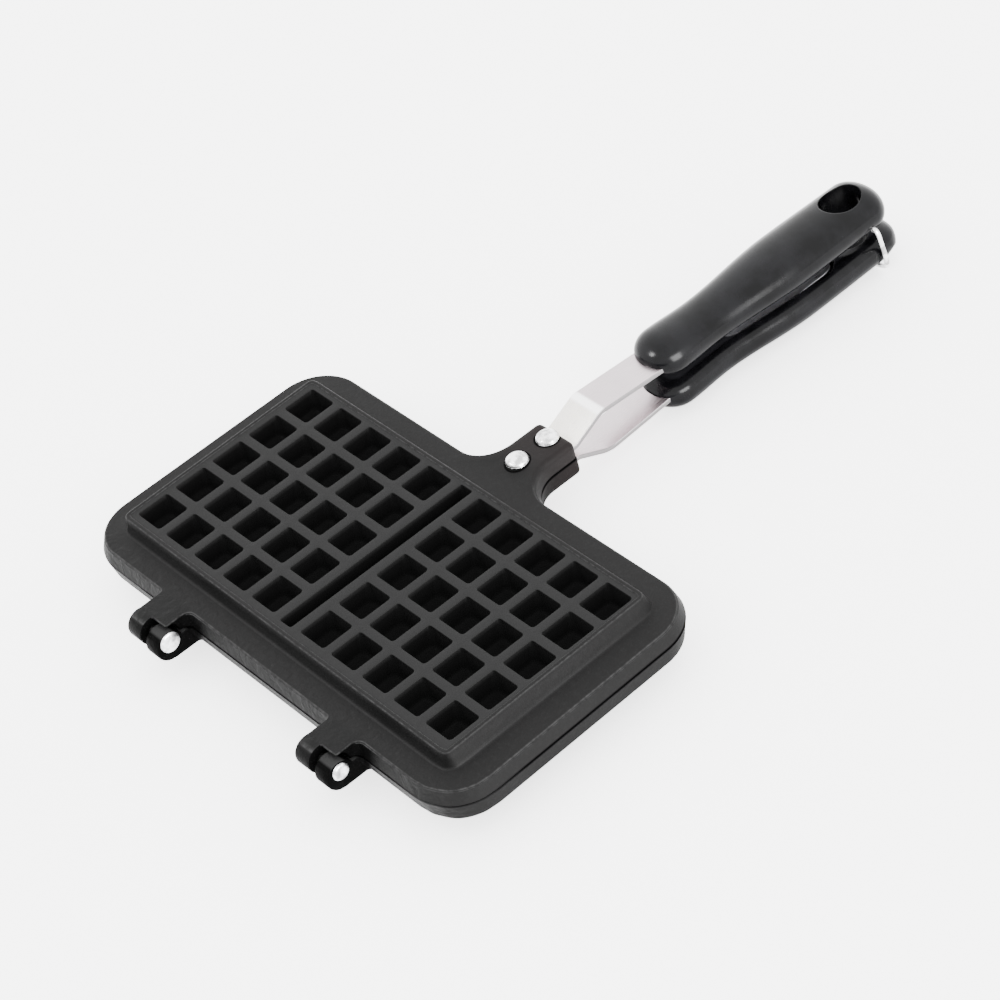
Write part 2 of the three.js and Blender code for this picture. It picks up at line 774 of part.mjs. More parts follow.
function insertSolid() {
  const low = tangHeight + strapThickness / 2 + 2 * gap;
  return cut(
    uprightCylinder(insertRadius, low, low + insertLength),
    uprightCylinder(screwRadius + gap, low - overrun, low + insertLength + overrun),
  );
}

function meshOf(name, solid, material) {
  const mesh = new THREE.Mesh(geometryOf(solid), material);
  mesh.name = name;
  return mesh;
}

// One half of the iron, as the upper half.
function halfOf(word, plate, handle) {
  const half = new THREE.Group();
  half.add(meshOf(`${word}_plate`, plate, castAluminium));
  half.add(meshOf(`${word}_strap`, strapSolid(), brushedSteel));
  half.add(meshOf(`${word}_handle`, handle, mouldedBlack));
  const ends = ["inner", "outer"];
  rivetPlaces().forEach((y, i) => {
    const rivet = meshOf(`${word}_rivet_${ends[i]}`, rivetSolid(), rivetMetal);
    rivet.position.y = y;
    half.add(rivet);
  });
  const places = ["front", "rear"];
  screwPlaces().forEach((y, i) => {
    const screw = meshOf(`${word}_tang_screw_${places[i]}`, screwSolid(), brushedSteel);
    const insert = meshOf(`${word}_handle_insert_${places[i]}`, insertSolid(), brass);
    screw.position.y = y;
    insert.position.y = y;
    half.add(screw, insert);
  });
  return half;
}

// The pins are alike and go in from opposite ends.
function hingePins() {
  const pins = new THREE.Group();
  for (const [name, side] of [["hinge_pin_left", -1], ["hinge_pin_right", 1]]) {
    const pin = meshOf(name, pinSolid(), rivetMetal);
    pin.rotation.y = (-side * Math.PI) / 2;
    pin.position.set(hingeShift + side * hingeOffset, hingeAxisY, 0);
    pins.add(pin);
  }
  return pins;
}

const upperHandle = cut(handleSolid(handleLength - upperTrim), bailRooms());
const upperSizes = { shift: hingeShift, rimHeight: upperRimHeight, earWidth: upperEarWidth };
const lowerSizes = { shift: -hingeShift, rimHeight: lowerRimHeight, earWidth: lowerEarWidth };
const upperHalf = halfOf("upper", plateSolid(upperSizes), upperHandle);
const lowerHalf = halfOf("lower", plateSolid(lowerSizes), lowerHandleSolid());
lowerHalf.rotation.y = Math.PI;

const iron = new THREE.Group();
iron.add(upperHalf, lowerHalf, hingePins(), meshOf("wire_bail", bailSolid(), brushedSteel));

// The origin is under the middle of the closed iron, at its lowest point.
iron.updateMatrixWorld(true);
const extent = new THREE.Box3().setFromObject(iron);
iron.position.set(0, -(extent.min.y + extent.max.y) / 2, -extent.min.z);

export default iron;
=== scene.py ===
from math import asin, copysign, cos, pi, radians, sin, sqrt, tan
import bpy
import bmesh
import numpy as np
from mathutils import Matrix, Vector
from mathutils.geometry import delaunay_2d_cdt


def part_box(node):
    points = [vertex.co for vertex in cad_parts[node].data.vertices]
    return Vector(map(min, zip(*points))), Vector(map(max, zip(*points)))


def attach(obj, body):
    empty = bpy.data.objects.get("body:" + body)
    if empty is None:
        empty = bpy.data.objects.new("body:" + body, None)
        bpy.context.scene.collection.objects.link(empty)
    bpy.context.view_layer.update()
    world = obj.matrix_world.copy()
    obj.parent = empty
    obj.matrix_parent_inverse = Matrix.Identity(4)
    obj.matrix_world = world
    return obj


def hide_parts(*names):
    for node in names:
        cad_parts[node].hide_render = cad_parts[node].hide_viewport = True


# The looks of a stovetop waffle iron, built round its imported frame.

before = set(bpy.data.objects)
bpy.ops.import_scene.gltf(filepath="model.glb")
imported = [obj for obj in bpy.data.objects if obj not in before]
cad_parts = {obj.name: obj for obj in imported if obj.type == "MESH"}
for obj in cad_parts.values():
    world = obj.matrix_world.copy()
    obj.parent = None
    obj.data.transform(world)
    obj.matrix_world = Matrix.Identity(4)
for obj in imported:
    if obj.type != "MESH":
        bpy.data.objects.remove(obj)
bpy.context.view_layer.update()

# The part's own origin: y = 0 at the middle of the cells, z = 0 where the plates meet.
PLATE_HEIGHT = 13.6
LUG_END = 94.25
_, top_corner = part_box("upper_plate")
ORIGIN = Vector((0, top_corner.y - LUG_END / 1000, top_corner.z - PLATE_HEIGHT / 1000))

# Cells: widths at the floor and at the mouth. A pair is half a size in X and half a size in Y.
PITCH = 19.4
COLUMNS = 5
ROWS = 5
DIVIDER = 12.4
CELL_FLOOR = 11.5
MOUTH = 15.1
CELL_CORNER = 1.4
RIB_TOP = 13.1
CELL_FLOOR_Z = 3.5
FIELD = (101.8, 48.35)
# The channel between the waffles, and how far it and the ridge under it reach in Y.
SLOT_FLOOR = 3.8
SLOT_MOUTH = 7.2
SLOT_REACH = 47.5
RIDGE_REACH = 47.2
# Each ring of the bead: how far it lies outside the field, its height and its corner radius.
BEAD = (
    (0.12, 13.12, 1.0), (0.28, 13.36, 1.2), (0.6, 13.56, 1.6), (1.1, 13.62, 2.0),
    (1.6, 13.58, 2.5), (1.95, 13.42, 2.9), (2.2, 13.1, 3.2), (2.35, 12.6, 3.5),
)
# Block, flange and lug
BLOCK_BASE = (106.9, 53.45)
BLOCK_CORNER = 7.2
FLANGE = (118.2, 63.6)
FLANGE_CORNER = 20.4
FLARE = 2.2
RIMS = {"upper": 6.5, "lower": 9.3}
MEET = 0.15
BEVEL = 0.35
LUG_HALF = 11.1
LUG_FILLET = 15.5
LUG_CORNERS = {"upper": 2.8, "lower": 2.2}
LUG_TOP = 8.3
# The ends in Y of the strap's seat under the lug, and its roof.
SEAT = (65.95, 96, 4.4)
# Where the plates begin to run out of square, just inside the field's edge.
SKEW_START = (101.6, 46.9)
# Hinge halves. The sides also say which way up a half lies.
SIDES = {"upper": 1, "lower": -1}
HINGE_Y = -77.05
HINGE_OFFSET = 55.3
HINGE_SHIFT = 2.1
HINGE_HALF = 9.95
EARS = {"upper": 8.95, "lower": 8.3}
EAR_CENTRES = {"upper": 0.0, "lower": 2.4}
TAB_TRIM = {"upper": 1.7, "lower": 0.0}
BARREL = 6.6
PIN_SHANK = 2.4
# Baking side
STUD_TIP = 2.2
STUD_WALL = 1.4
SKIN_Z = 11.0
ROOF = (102.3, 47.9)
ROOF_EDGE = ((0.12, 10.6, 1.5), (0.3, 9.8, 2.2))
CAVITY = (104.3, 50.85)
# Corner radius of a loop whose corners are square.
SQUARE = 0.001
# Straps
RIVETS = (72.75, 89.05)
STRAP_WIDTH = 17.5
STRAP_THICK = 2.2
STRAP_Z = 3.0
CRESTS = {"upper": 9, "lower": 16}
TANG_Z = 4.6
TANG_END = 243.05
# Handles
NOSE = 141.65
HANDLE_LENGTH = 135.4
HANDLE_TRIM = {"upper": 3.0, "lower": 0.0}
HANDLE_AXIS = 9.1
INNER_FACE = 2.0
# Half widths at places along a handle.
HANDLE_KNOTS = ((0, 13.0), (12.5, 13.0), (34, 12.0), (80, 15.2), (HANDLE_LENGTH, 14.4))
# Its top's rise as a share of half its width.
HANDLE_RISE = 0.645
# The hanging hole's middle in Y, and its radii in X and in Y.
HOLE = (256.45, 8.2, 10.0)
# The pocket's ends in Y, and their radii.
POCKET = (180.65, 244.65, 6.6, 10.6)
# Heights past a handle on both sides, for what cuts through it.
THROUGH = (-5, 40)
# How far the screws lie from the tang's end.
SCREWS = {"front": 38, "rear": 14}
# Bail: the wire's radius in the solids and as drawn, and its air to the handle.
WIRE = 1.25
WIRE_DRAWN = 1.08
WIRE_ROOM = 0.4
PIVOT = (259.85, 6.2)
BAIL_LEAN = 3.5
BAIL_DROP = 25.0
BAIL_BEND = 2.4
BAIL_CORNER = 8


def linked(name, data):
    obj = bpy.data.objects.new(name, data)
    bpy.context.scene.collection.objects.link(obj)
    return obj


def new_object(name, verts, faces):
    mesh = bpy.data.meshes.new(name)
    mesh.from_pydata([tuple(map(float, v)) for v in verts], [], faces)
    mesh.validate()
    mesh.update()
    return linked(name, mesh)


def boolean(obj, tool):
    """Cuts a tool out of an object and removes the tool."""
    modifier = obj.modifiers.new("cut", "BOOLEAN")
    modifier.operation = "DIFFERENCE"
    modifier.solver = "EXACT"
    modifier.object = tool
    graph = bpy.context.evaluated_depsgraph_get()
    mesh = bpy.data.meshes.new_from_object(obj.evaluated_get(graph))
    old = obj.data
    obj.modifiers.clear()
    obj.data = mesh
    bpy.data.meshes.remove(old)
    bpy.data.objects.remove(tool)
    return obj


def face_outwards(obj, merge=None):
    """Turns all faces outwards, after joining points that lie within merge of each other."""
    bm = bmesh.new()
    bm.from_mesh(obj.data)
    if merge:
        bmesh.ops.remove_doubles(bm, verts=bm.verts, dist=merge)
    bmesh.ops.recalc_face_normals(bm, faces=bm.faces)
    bm.to_mesh(obj.data)
    bm.free()
    return obj


def finish(obj, degrees, word, *materials):
    """Marks the edges over an angle as sharp, moves the mesh from the part's millimetres to the frame,
    turned over for the lower half, and gives it its materials."""
    bm = bmesh.new()
    bm.from_mesh(obj.data)
    for face in bm.faces:
        face.smooth = True
    for edge in bm.edges:
        if len(edge.link_faces) == 2:
            edge.smooth = edge.calc_face_angle(0) < radians(degrees)
    bm.to_mesh(obj.data)
    bm.free()
    turn = Matrix.Rotation(pi, 4, "Y") if word == "lower" else Matrix.Identity(4)
    obj.data.transform(Matrix.Translation(ORIGIN) @ Matrix.Scale(0.001, 4) @ turn)
    for name in materials:
        obj.data.materials.append(MATERIALS[name])


class Shell:
    """Collects rings of points and the faces between them."""

    def __init__(self):
        self.verts = []
        self.faces = []

    def ring(self, points):
        start = len(self.verts)
        self.verts.extend(points)
        return list(range(start, start + len(points)))

    def grow(self, ring, points):
        """Adds a ring of points, bridged to the ring before it, and gives it back."""
        following = self.ring(points)
        for i in range(len(ring)):
            j = (i + 1) % len(ring)
            self.faces.append((ring[i], ring[j], following[j], following[i]))
        return following

    def cap(self, ring, point):
        centre = self.ring([point])[0]
        for i in range(len(ring)):
            self.faces.append((ring[i], ring[(i + 1) % len(ring)], centre))

    def fill(self, outer, inner, loose=()):
        """The field between two loops, by triangles, through loose points inside it."""
        index = list(outer) + list(inner) + self.ring(list(loose))
        flat = [Vector(self.verts[i][:2]) for i in index]
        edges = []
        for start, ring in ((0, outer), (len(outer), inner)):
            edges += [(start + i, start + (i + 1) % len(ring)) for i in range(len(ring))]
        _, _, triangles, source, _, _ = delaunay_2d_cdt(flat, edges, [], 0, 1e-6)
        poly, hole = (np.array([tuple(self.verts[i][:2]) for i in ring]) for ring in (outer, inner))
        for triangle in triangles:
            middle = sum((flat[source[i][0]] for i in triangle), Vector((0, 0))) / 3
            if inside(middle, poly) and not inside(middle, hole):
                self.faces.append(tuple(index[source[i][0]] for i in triangle))


def inside(point, polygon):
    """Whether a point lies in a polygon."""
    x, y = point
    a, b = polygon, np.roll(polygon, -1, axis=0)
    crosses = (a[:, 1] > y) != (b[:, 1] > y)
    with np.errstate(divide="ignore", invalid="ignore"):
        at = (b[:, 0] - a[:, 0]) * (y - a[:, 1]) / (b[:, 1] - a[:, 1]) + a[:, 0]
    return bool(np.count_nonzero(crosses & (x < at)) % 2)


# A side's points lie from -1 to 1 along it. Those past the share of turn make its half of a round corner.
CORNER_STEPS = 3
STRAIGHT_STEPS = 3
CORNER_RUN = 3.85


def cell_steps(turn):
    """Places along a cell's side, without the last: denser at its corners, which begin at the turn."""
    ends = [turn + (1 - turn) * i / CORNER_STEPS for i in range(CORNER_STEPS + 1)]
    middle = [turn * (2 * i / STRAIGHT_STEPS - 1) for i in range(1, STRAIGHT_STEPS)]
    return [-u for u in reversed(ends)] + middle + ends[:-1]


CELL_TURN = 1 - CORNER_RUN / (PITCH / 2)
CELL_US = cell_steps(CELL_TURN)
SLOT_US = [-1, -0.8, -0.6, -0.2, 0.2, 0.6, 0.8]
SLOT_TURN = 0.6


def corner_ring(x, y, half_x, half_y, radius, z, us, turns):
    """A rectangle with round corners as matched points: bottom, right, top and left side in turn."""
    points = []
    for side in range(4):
        along, turn = us[side % 2], turns[side % 2]
        half_a, half_b = (half_x, half_y) if side % 2 == 0 else (half_y, half_x)
        for u in along:
            if abs(u) <= turn:
                a, b = u / turn * (half_a - radius), half_b
            else:
                angle = (abs(u) - turn) / (1 - turn) * pi / 4
                a = copysign(half_a - radius + radius * sin(angle), u)
                b = half_b - radius + radius * cos(angle)
            px, py = ((a, -b), (b, a), (-a, b), (-b, -a))[side]
            points.append((x + px, y + py, z))
    return points


def tile_ring(x0, x1, y0, y1, z, us):
    """A cell's straight-sided boundary, which its neighbour shares."""
    points = []
    for side in range(4):
        for u in us[side % 2]:
            share = (u + 1) / 2
            a = x0 + (x1 - x0) * share if side % 2 == 0 else y0 + (y1 - y0) * share
            px, py = ((a, y0), (x1, a), (x1 + x0 - a, y1), (x0, y1 + y0 - a))[side]
            points.append((px, py, z))
    return points


def rounding(radius, steps):
    """Pairs of how far a quarter round has gone across and down."""
    angles = [radians(90 * i / steps) for i in range(steps + 1)]
    return [(radius * sin(a), radius * (1 - cos(a))) for a in angles]


def taper(low, high, z):
    """Half the width at a height of what is low wide at a cell's floor and high wide at its mouth."""
    share = (z - CELL_FLOOR_Z) / (PLATE_HEIGHT - CELL_FLOOR_Z)
    return (low + (high - low) * share) / 2


def well_profile(low, high, corner, floor_round=2.6, lip=0.45):
    """Half width, corner radius and height of each ring from a hollow's lip to its floor."""
    rings = []
    for across, down in rounding(lip, 4):
        rings.append((taper(low, high, RIB_TOP) + lip - across, corner + lip - across, RIB_TOP - down))
    rings += [(taper(low, high, z), corner * rounder, z) for z, rounder in ((10.8, 1.5), (8.5, 2.0))]
    for across, down in reversed(rounding(floor_round, 4)):
        half = taper(low, high, CELL_FLOOR_Z + floor_round) - floor_round + across
        rings.append((half, corner * 2.2 - (floor_round - across) * 0.6, CELL_FLOOR_Z + down))
    return rings


def stud_profile(low, high, corner):
    """The same for a stud, from its root at the roof of the cavity to its tip."""
    wall, tip, root = 2 * STUD_WALL, 0.9, 0.25
    rings = [(taper(low, high, SKIN_Z) + STUD_WALL + root, corner + 1.2, SKIN_Z)]
    rings.append((taper(low, high, SKIN_Z - root) + STUD_WALL, corner + 1, SKIN_Z - root))
    for across, down in rounding(tip, 4):
        half = taper(low + wall, high + wall, STUD_TIP + tip) - down
        rings.append((half, max(corner - down, 0.4), STUD_TIP + tip - across))
    return rings


def field_steps(half):
    """The edges of the tiles in X and in Y."""
    xs = [DIVIDER / 2 + PITCH * i for i in range(COLUMNS)] + [half[0]]
    ys = [-half[1]] + [PITCH * (i - ROWS / 2) for i in range(1, ROWS)] + [half[1]]
    return [-x for x in reversed(xs)] + xs, ys


def spread(edges, us_of):
    """All places along a field's side, from its first edge to its last, without the last."""
    places = []
    for i in range(len(edges) - 1):
        low, high = edges[i], edges[i + 1]
        places += [low + (high - low) * (u + 1) / 2 for u in us_of(i)]
    return places


def cell_field(shell, half, z, profile, slot_profile, slot_half):
    """Fifty cells and the channel between them. Gives back the field's outer loop."""
    xs, ys = field_steps(half)
    us, turns = (CELL_US, CELL_US), (CELL_TURN, CELL_TURN)
    for column in range(2 * COLUMNS + 1):
        away = column - COLUMNS
        if away == 0:
            continue
        x0, x1 = xs[column], xs[column + 1]
        x = copysign(DIVIDER / 2 + (abs(away) - 0.5) * PITCH, away)
        for row in range(ROWS):
            y = (row - (ROWS - 1) / 2) * PITCH
            ring = shell.ring(tile_ring(x0, x1, ys[row], ys[row + 1], z, us))
            for wide, corner, level in profile:
                ring = shell.grow(ring, corner_ring(x, y, wide, wide, corner, level, us, turns))
            shell.cap(ring, (x, y, profile[-1][2]))
    side_us = [y / half[1] for y in spread(ys, lambda i: CELL_US)]
    us, turns = (SLOT_US, side_us), (SLOT_TURN, 1 - CORNER_RUN / half[1])
    ring = shell.ring(tile_ring(-DIVIDER / 2, DIVIDER / 2, -half[1], half[1], z, us))
    for wide, corner, level in slot_profile:
        length = slot_half - (slot_profile[0][0] - wide)
        corner = min(corner, wide * 0.95)
        ring = shell.grow(ring, corner_ring(0, 0, wide, length, corner, level, us, turns))
    count = len(SLOT_US)
    sides = len(side_us)
    right = ring[count:count + sides + 1]
    left = [ring[0]] + list(reversed(ring[2 * count + sides:]))
    for i in range(len(right) - 1):
        shell.faces.append((left[i], right[i], right[i + 1], left[i + 1]))
    shell.faces.append(tuple(ring[:count + 1]))
    shell.faces.append(tuple(ring[count + sides:2 * count + sides + 1]))
    bottom = spread(xs, lambda i: SLOT_US if i == COLUMNS else CELL_US)
    return [x / half[0] for x in bottom], side_us


def border_points(half, radius, z, us, field):
    """A loop round the field with a point for each of the field's own."""
    turns = [min((half[i] - radius) / half[i], 1 - CORNER_RUN / field[i]) for i in range(2)]
    return corner_ring(0, 0, half[0], half[1], radius, z, us, turns)


def grown(half, by):
    return (half[0] + by, half[1] + by)


def mixed(a, b, share):
    return tuple(p + (q - p) * share for p, q in zip(a, b))


def outer_shell(shell, rim):
    """The outside of the raised block: cells, bead, side and the round into the flange."""
    wells = well_profile(CELL_FLOOR, MOUTH, CELL_CORNER)
    slot = well_profile(SLOT_FLOOR, SLOT_MOUTH, 0.9, floor_round=1.0, lip=0.4)
    us = cell_field(shell, FIELD, RIB_TOP, wells, slot, SLOT_REACH)
    ring = shell.ring(border_points(FIELD, SQUARE, RIB_TOP, us, FIELD))
    for out, z, radius in BEAD:
        ring = shell.grow(ring, border_points(grown(FIELD, out), radius, z, us, FIELD))
    bead_out, bead_foot, bead_corner = BEAD[-1]
    for share in (0.12, 0.3, 0.5, 0.7, 0.86):
        half = mixed(grown(FIELD, bead_out), BLOCK_BASE, share)
        z = bead_foot + (rim - bead_foot) * share
        radius = bead_corner + (BLOCK_CORNER - bead_corner) * share
        ring = shell.grow(ring, border_points(half, radius, z, us, FIELD))
    for out, up, rounder in ((-0.1, 0.45, 0.0), (0.25, 0.15, 0.3), (0.75, 0.0, 0.8)):
        half, radius = grown(BLOCK_BASE, out), BLOCK_CORNER + rounder
        ring = shell.grow(ring, border_points(half, radius, rim + up, us, FIELD))
    return ring


def inner_shell(shell):
    """The baking side: studs, the ridge between the waffles and the cavity's wall."""
    studs = stud_profile(CELL_FLOOR, MOUTH, CELL_CORNER)
    ridge = stud_profile(SLOT_FLOOR, SLOT_MOUTH, 1.6)
    us = cell_field(shell, ROOF, SKIN_Z, studs, ridge, RIDGE_REACH)
    ring = shell.ring(border_points(ROOF, SQUARE, SKIN_Z, us, ROOF))
    for out, z, radius in ROOF_EDGE:
        ring = shell.grow(ring, border_points(grown(ROOF, out), radius, z, us, ROOF))
    out, top, radius = ROOF_EDGE[-1]
    for share in (0.35, 0.7, 1.0):
        half = mixed(grown(ROOF, out), CAVITY, share)
        z = top + (0.6 - top) * share
        ring = shell.grow(ring, border_points(half, radius + 1.8 * share, z, us, ROOF))
    return shell.grow(ring, border_points(grown(CAVITY, BEVEL), 4.3, MEET, us, ROOF))


def smooth_share(a, b, x):
    """0 up to a, 1 from b on and a soft step between them."""
    t = min(max((x - a) / (b - a), 0), 1)
    return t * t * (3 - 2 * t)


def arc(x, y, radius, start, end, steps):
    """Points on an arc between two angles in degrees."""
    angles = [radians(start + (end - start) * i / steps) for i in range(steps + 1)]
    return [(x + radius * cos(a), y + radius * sin(a)) for a in angles]


def hinge_outline(x, edge, cut, word):
    """One hinge's share of the outline: the ear to the left, the body cut back to the right."""
    left, right = x - HINGE_HALF, x + HINGE_HALF - TAB_TRIM[word]
    ear = left + EARS[word]
    root, wide = 1.6, 3.6
    points = arc(left - root, edge - root, root, 90, 0, 4)
    points += [(left, HINGE_Y + 4), (left, HINGE_Y), (ear, HINGE_Y), (ear, cut - 0.5)]
    points += [(ear + 0.5, cut), (right - 1, cut)]
    points += arc(right - 1, cut + 1, 1, -90, 0, 3)[1:]
    points += arc(right + wide, edge - wide, wide, 180, 90, 8)
    return points


def outline(z, shift, word):
    """The plate's outline at a height, always with as many points, anticlockwise from the left hinge."""
    flare = FLARE * (RIMS[word] - z) / (RIMS[word] - MEET)
    fx, fy = grown(FLANGE, flare)
    r = FLANGE_CORNER + flare
    cut = HINGE_Y + sqrt(BARREL ** 2 - min(z, 6.5) ** 2)
    points = []
    for side in (-1, 1):
        points += hinge_outline(shift + side * HINGE_OFFSET, -fy, cut, word)
    points += arc(fx - r, r - fy, r, -90, 0, 18)
    points += arc(fx - r, fy - r, r, 0, 90, 18)
    root = LUG_HALF + LUG_FILLET
    points += arc(root, fy + LUG_FILLET, LUG_FILLET, -90, -180, 14)
    corner, end = LUG_CORNERS[word], LUG_END
    points += arc(LUG_HALF - corner, end - corner, corner, 0, 90, 6)
    points += arc(corner - LUG_HALF, end - corner, corner, 90, 180, 6)
    points += arc(-root, fy + LUG_FILLET, LUG_FILLET, 0, -90, 14)
    points += arc(r - fx, fy - r, r, 90, 180, 18)
    points += arc(r - fx, r - fy, r, 180, 270, 18)
    return points


def inset(points, by):
    """The outline moved inwards."""
    p = np.array(points)
    before, after = p - np.roll(p, 1, axis=0), np.roll(p, -1, axis=0) - p
    normals = []
    for d in (before, after):
        length = np.maximum(np.linalg.norm(d, axis=1, keepdims=True), 1e-9)
        d = d / length
        normals.append(np.stack([-d[:, 1], d[:, 0]], 1))
    total = normals[0] + normals[1]
    scale = 1 + (normals[0] * normals[1]).sum(1, keepdims=True)
    return p + by * total / np.maximum(scale, 0.5)


def lug_share(y):
    """0 on the flange, 1 on the lug, whose edge is rounder and whose top is higher than the flange."""
    return smooth_share(62.5, 78, y)


def askew(x, y, z, side):
    """The castings aren't quite square. Past the cells, the front and the right side run out towards the
    corner between them, and the top of the block also stands out on the left and at the front."""
    right, front = x * side, -y
    start_x, start_y = SKEW_START
    high = smooth_share(9, 12.5, z)
    if right > start_x:
        share = min(max((front + 60) / 120, 0), 1)
        out = share * (1.9 + 1.2 * smooth_share(106, 112, right))
        right += out * smooth_share(start_x, start_x + 0.2, right)
    elif right < -start_x:
        share = min(max((60 - front) / 120, 0), 1)
        right -= (0.9 + 1.0 * share) * high * smooth_share(start_x, start_x + 0.2, -right)
    if front > start_y:
        share = min(max((right + 110) / 220, 0), 1)
        out = (1.6 * share + 0.7 * high) * smooth_share(start_y, 48.3, front)
        front += out * (1 - smooth_share(67, 72, front))
    return (right * side, -front, z)


def plate_mesh(name, shift, word):
    """A casting without its barrels and seat, its hinge halves moved by the shift."""
    rim = RIMS[word]
    shell = Shell()
    block = outer_shell(shell, rim)
    cavity = inner_shell(shell)
    ring = shell.ring([(x, y, MEET) for x, y in inset(outline(MEET, shift, word), BEVEL)])
    shell.fill(ring, cavity)
    shares = [lug_share(y) for x, y in outline(rim, shift, word)]
    edges = [0.9 + (LUG_CORNERS[word] - 1.0) * share for share in shares]
    tops = [rim + (LUG_TOP - rim) * share for share in shares]
    for part in (0, 0.2, 0.45, 0.7, 0.88, 1):
        heights = [MEET + BEVEL + part * (top - edge - MEET - BEVEL) for top, edge in zip(tops, edges)]
        rows = {z: outline(z, shift, word) for z in set(heights)}
        ring = shell.grow(ring, [(*rows[z][i], z) for i, z in enumerate(heights)])
    steps = 8
    for i in range(1, steps + 1):
        turn = radians(90 * i / steps)
        by = np.array([edge * (1 - cos(turn)) for edge in edges])
        points = inset(outline(rim, shift, word), by[:, None])
        heights = [top - edge * (1 - sin(turn)) for top, edge in zip(tops, edges)]
        ring = shell.grow(ring, [(x, y, z) for (x, y), z in zip(points, heights)])
    loose = []
    for y in np.arange(60, 90, 2.0):
        reach = LUG_HALF - 5.5 + LUG_FILLET * (1 - smooth_share(56, 74, y))
        for x in np.arange(-reach, reach + 0.1, 2 * reach / 6):
            loose.append((x, y, rim + (LUG_TOP - rim) * lug_share(y)))
    shell.fill(ring, block, loose)
    obj = new_object(name, [askew(*vert, SIDES[word]) for vert in shell.verts], shell.faces)
    return face_outwards(obj, merge=0.004)


def prism(name, bottom, top):
    """The body between two outlines with as many points."""
    count = len(bottom)
    faces = [tuple(reversed(range(count))), tuple(range(count, 2 * count))]
    faces += [(i, (i + 1) % count, count + (i + 1) % count, count + i) for i in range(count)]
    return new_object(name, [*bottom, *top], faces)


def side_prism(name, points, x0, x1):
    """A shape drawn in Y and Z, extruded along X."""
    ends = ([(x, y, z) for y, z in points] for x in (x0, x1))
    return face_outwards(prism(name, *ends))


def upright_prism(name, points, low, high):
    """A shape drawn in X and Y, extruded along Z."""
    return prism(name, *([(x, y, z) for x, y in points] for z in (low, high)))


def turned_piece(name, profile, steps=48):
    """A body of revolution about Z from pairs of radius and height, from the axis to the axis."""
    verts, faces, rings = [], [], []
    for radius, z in profile:
        if radius < 1e-6:
            rings.append([len(verts)])
            verts.append((0, 0, z))
            continue
        rings.append(list(range(len(verts), len(verts) + steps)))
        for i in range(steps):
            angle = 2 * pi * i / steps
            verts.append((radius * cos(angle), radius * sin(angle), z))
    for a, b in zip(rings, rings[1:]):
        for i in range(steps):
            j = (i + 1) % steps
            if len(a) == 1:
                faces.append((a[0], b[j], b[i]))
            elif len(b) == 1:
                faces.append((a[i], a[j], b[0]))
            else:
                faces.append((a[i], a[j], b[j], b[i]))
    return face_outwards(new_object(name, verts, faces))


def barrel(name, x, word):
    """The round end of one ear."""
    left = x - HINGE_HALF + 0.02
    right = left + EARS[word]
    profile = [
        (0, left), (BARREL - 0.7, left), (BARREL - 0.2, left + 0.2), (BARREL, left + 0.7),
        (BARREL, right - 0.5), (BARREL - 0.15, right - 0.15), (BARREL - 0.5, right), (0, right),
    ]
    obj = turned_piece(name, profile, 64)
    centre = Matrix.Translation((0, HINGE_Y, EAR_CENTRES[word]))
    obj.data.transform(centre @ Matrix.Rotation(pi / 2, 4, "Y"))
    return obj


def joined(target, *others):
    """One object from several meshes."""
    bm = bmesh.new()
    for obj in (target, *others):
        bm.from_mesh(obj.data)
    bm.to_mesh(target.data)
    bm.free()
    for obj in others:
        bpy.data.objects.remove(obj)
    return target


def make_plate(word):
    """A casting with its two barrels and the seat of its strap."""
    shift = SIDES[word] * HINGE_SHIFT
    plate = plate_mesh(f"{word}_casting", shift, word)
    start, end, roof = SEAT
    seat = [(start, -1), (end, -1), (end, roof), (start, roof)]
    half = STRAP_WIDTH / 2 + 0.3
    boolean(plate, side_prism("seat", seat, -half, half))
    places = [shift + side * HINGE_OFFSET for side in (-1, 1)]
    joined(plate, *(barrel(f"barrel_{i}", x, word) for i, x in enumerate(places)))
    finish(plate, 40, word, f"{word}_casting")
    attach(plate, f"{word}_half")
    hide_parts(f"{word}_plate")


# Straps
def bent(corners):
    """Points of a line in Y and Z whose corners are rounded."""
    path, step = [], 0.8
    for i, (y, z, radius) in enumerate(corners):
        here = Vector((y, z))
        if i == 0 or i == len(corners) - 1:
            path.append(here)
            continue
        into = (here - Vector(corners[i - 1][:2])).normalized()
        out = (Vector(corners[i + 1][:2]) - here).normalized()
        turn = asin(into.x * out.y - into.y * out.x)
        reach = radius * tan(abs(turn) / 2)
        start = here - into * reach
        across = Vector((-into.y, into.x))
        centre = start + across * copysign(radius, turn)
        steps = max(4, int(radius * abs(turn) / step))
        for k in range(steps + 1):
            angle = turn * k / steps
            spoke = start - centre
            path.append(centre + Matrix.Rotation(angle, 2) @ spoke)
    fine = [path[0]]
    for a, b in zip(path, path[1:]):
        parts = max(1, int((b - a).length / 3))
        fine += [a + (b - a) * (k + 1) / parts for k in range(parts)]
    return fine


def strap_line(crest):
    """The strap's middle line: flat under the lug, up to a crest of that radius, and down to the tang."""
    return bent([
        (66.25, STRAP_Z, 0), (96.2, STRAP_Z, 5), (111.25, 10.2, crest),
        (198.65, TANG_Z, 40), (TANG_END, TANG_Z, 0),
    ])


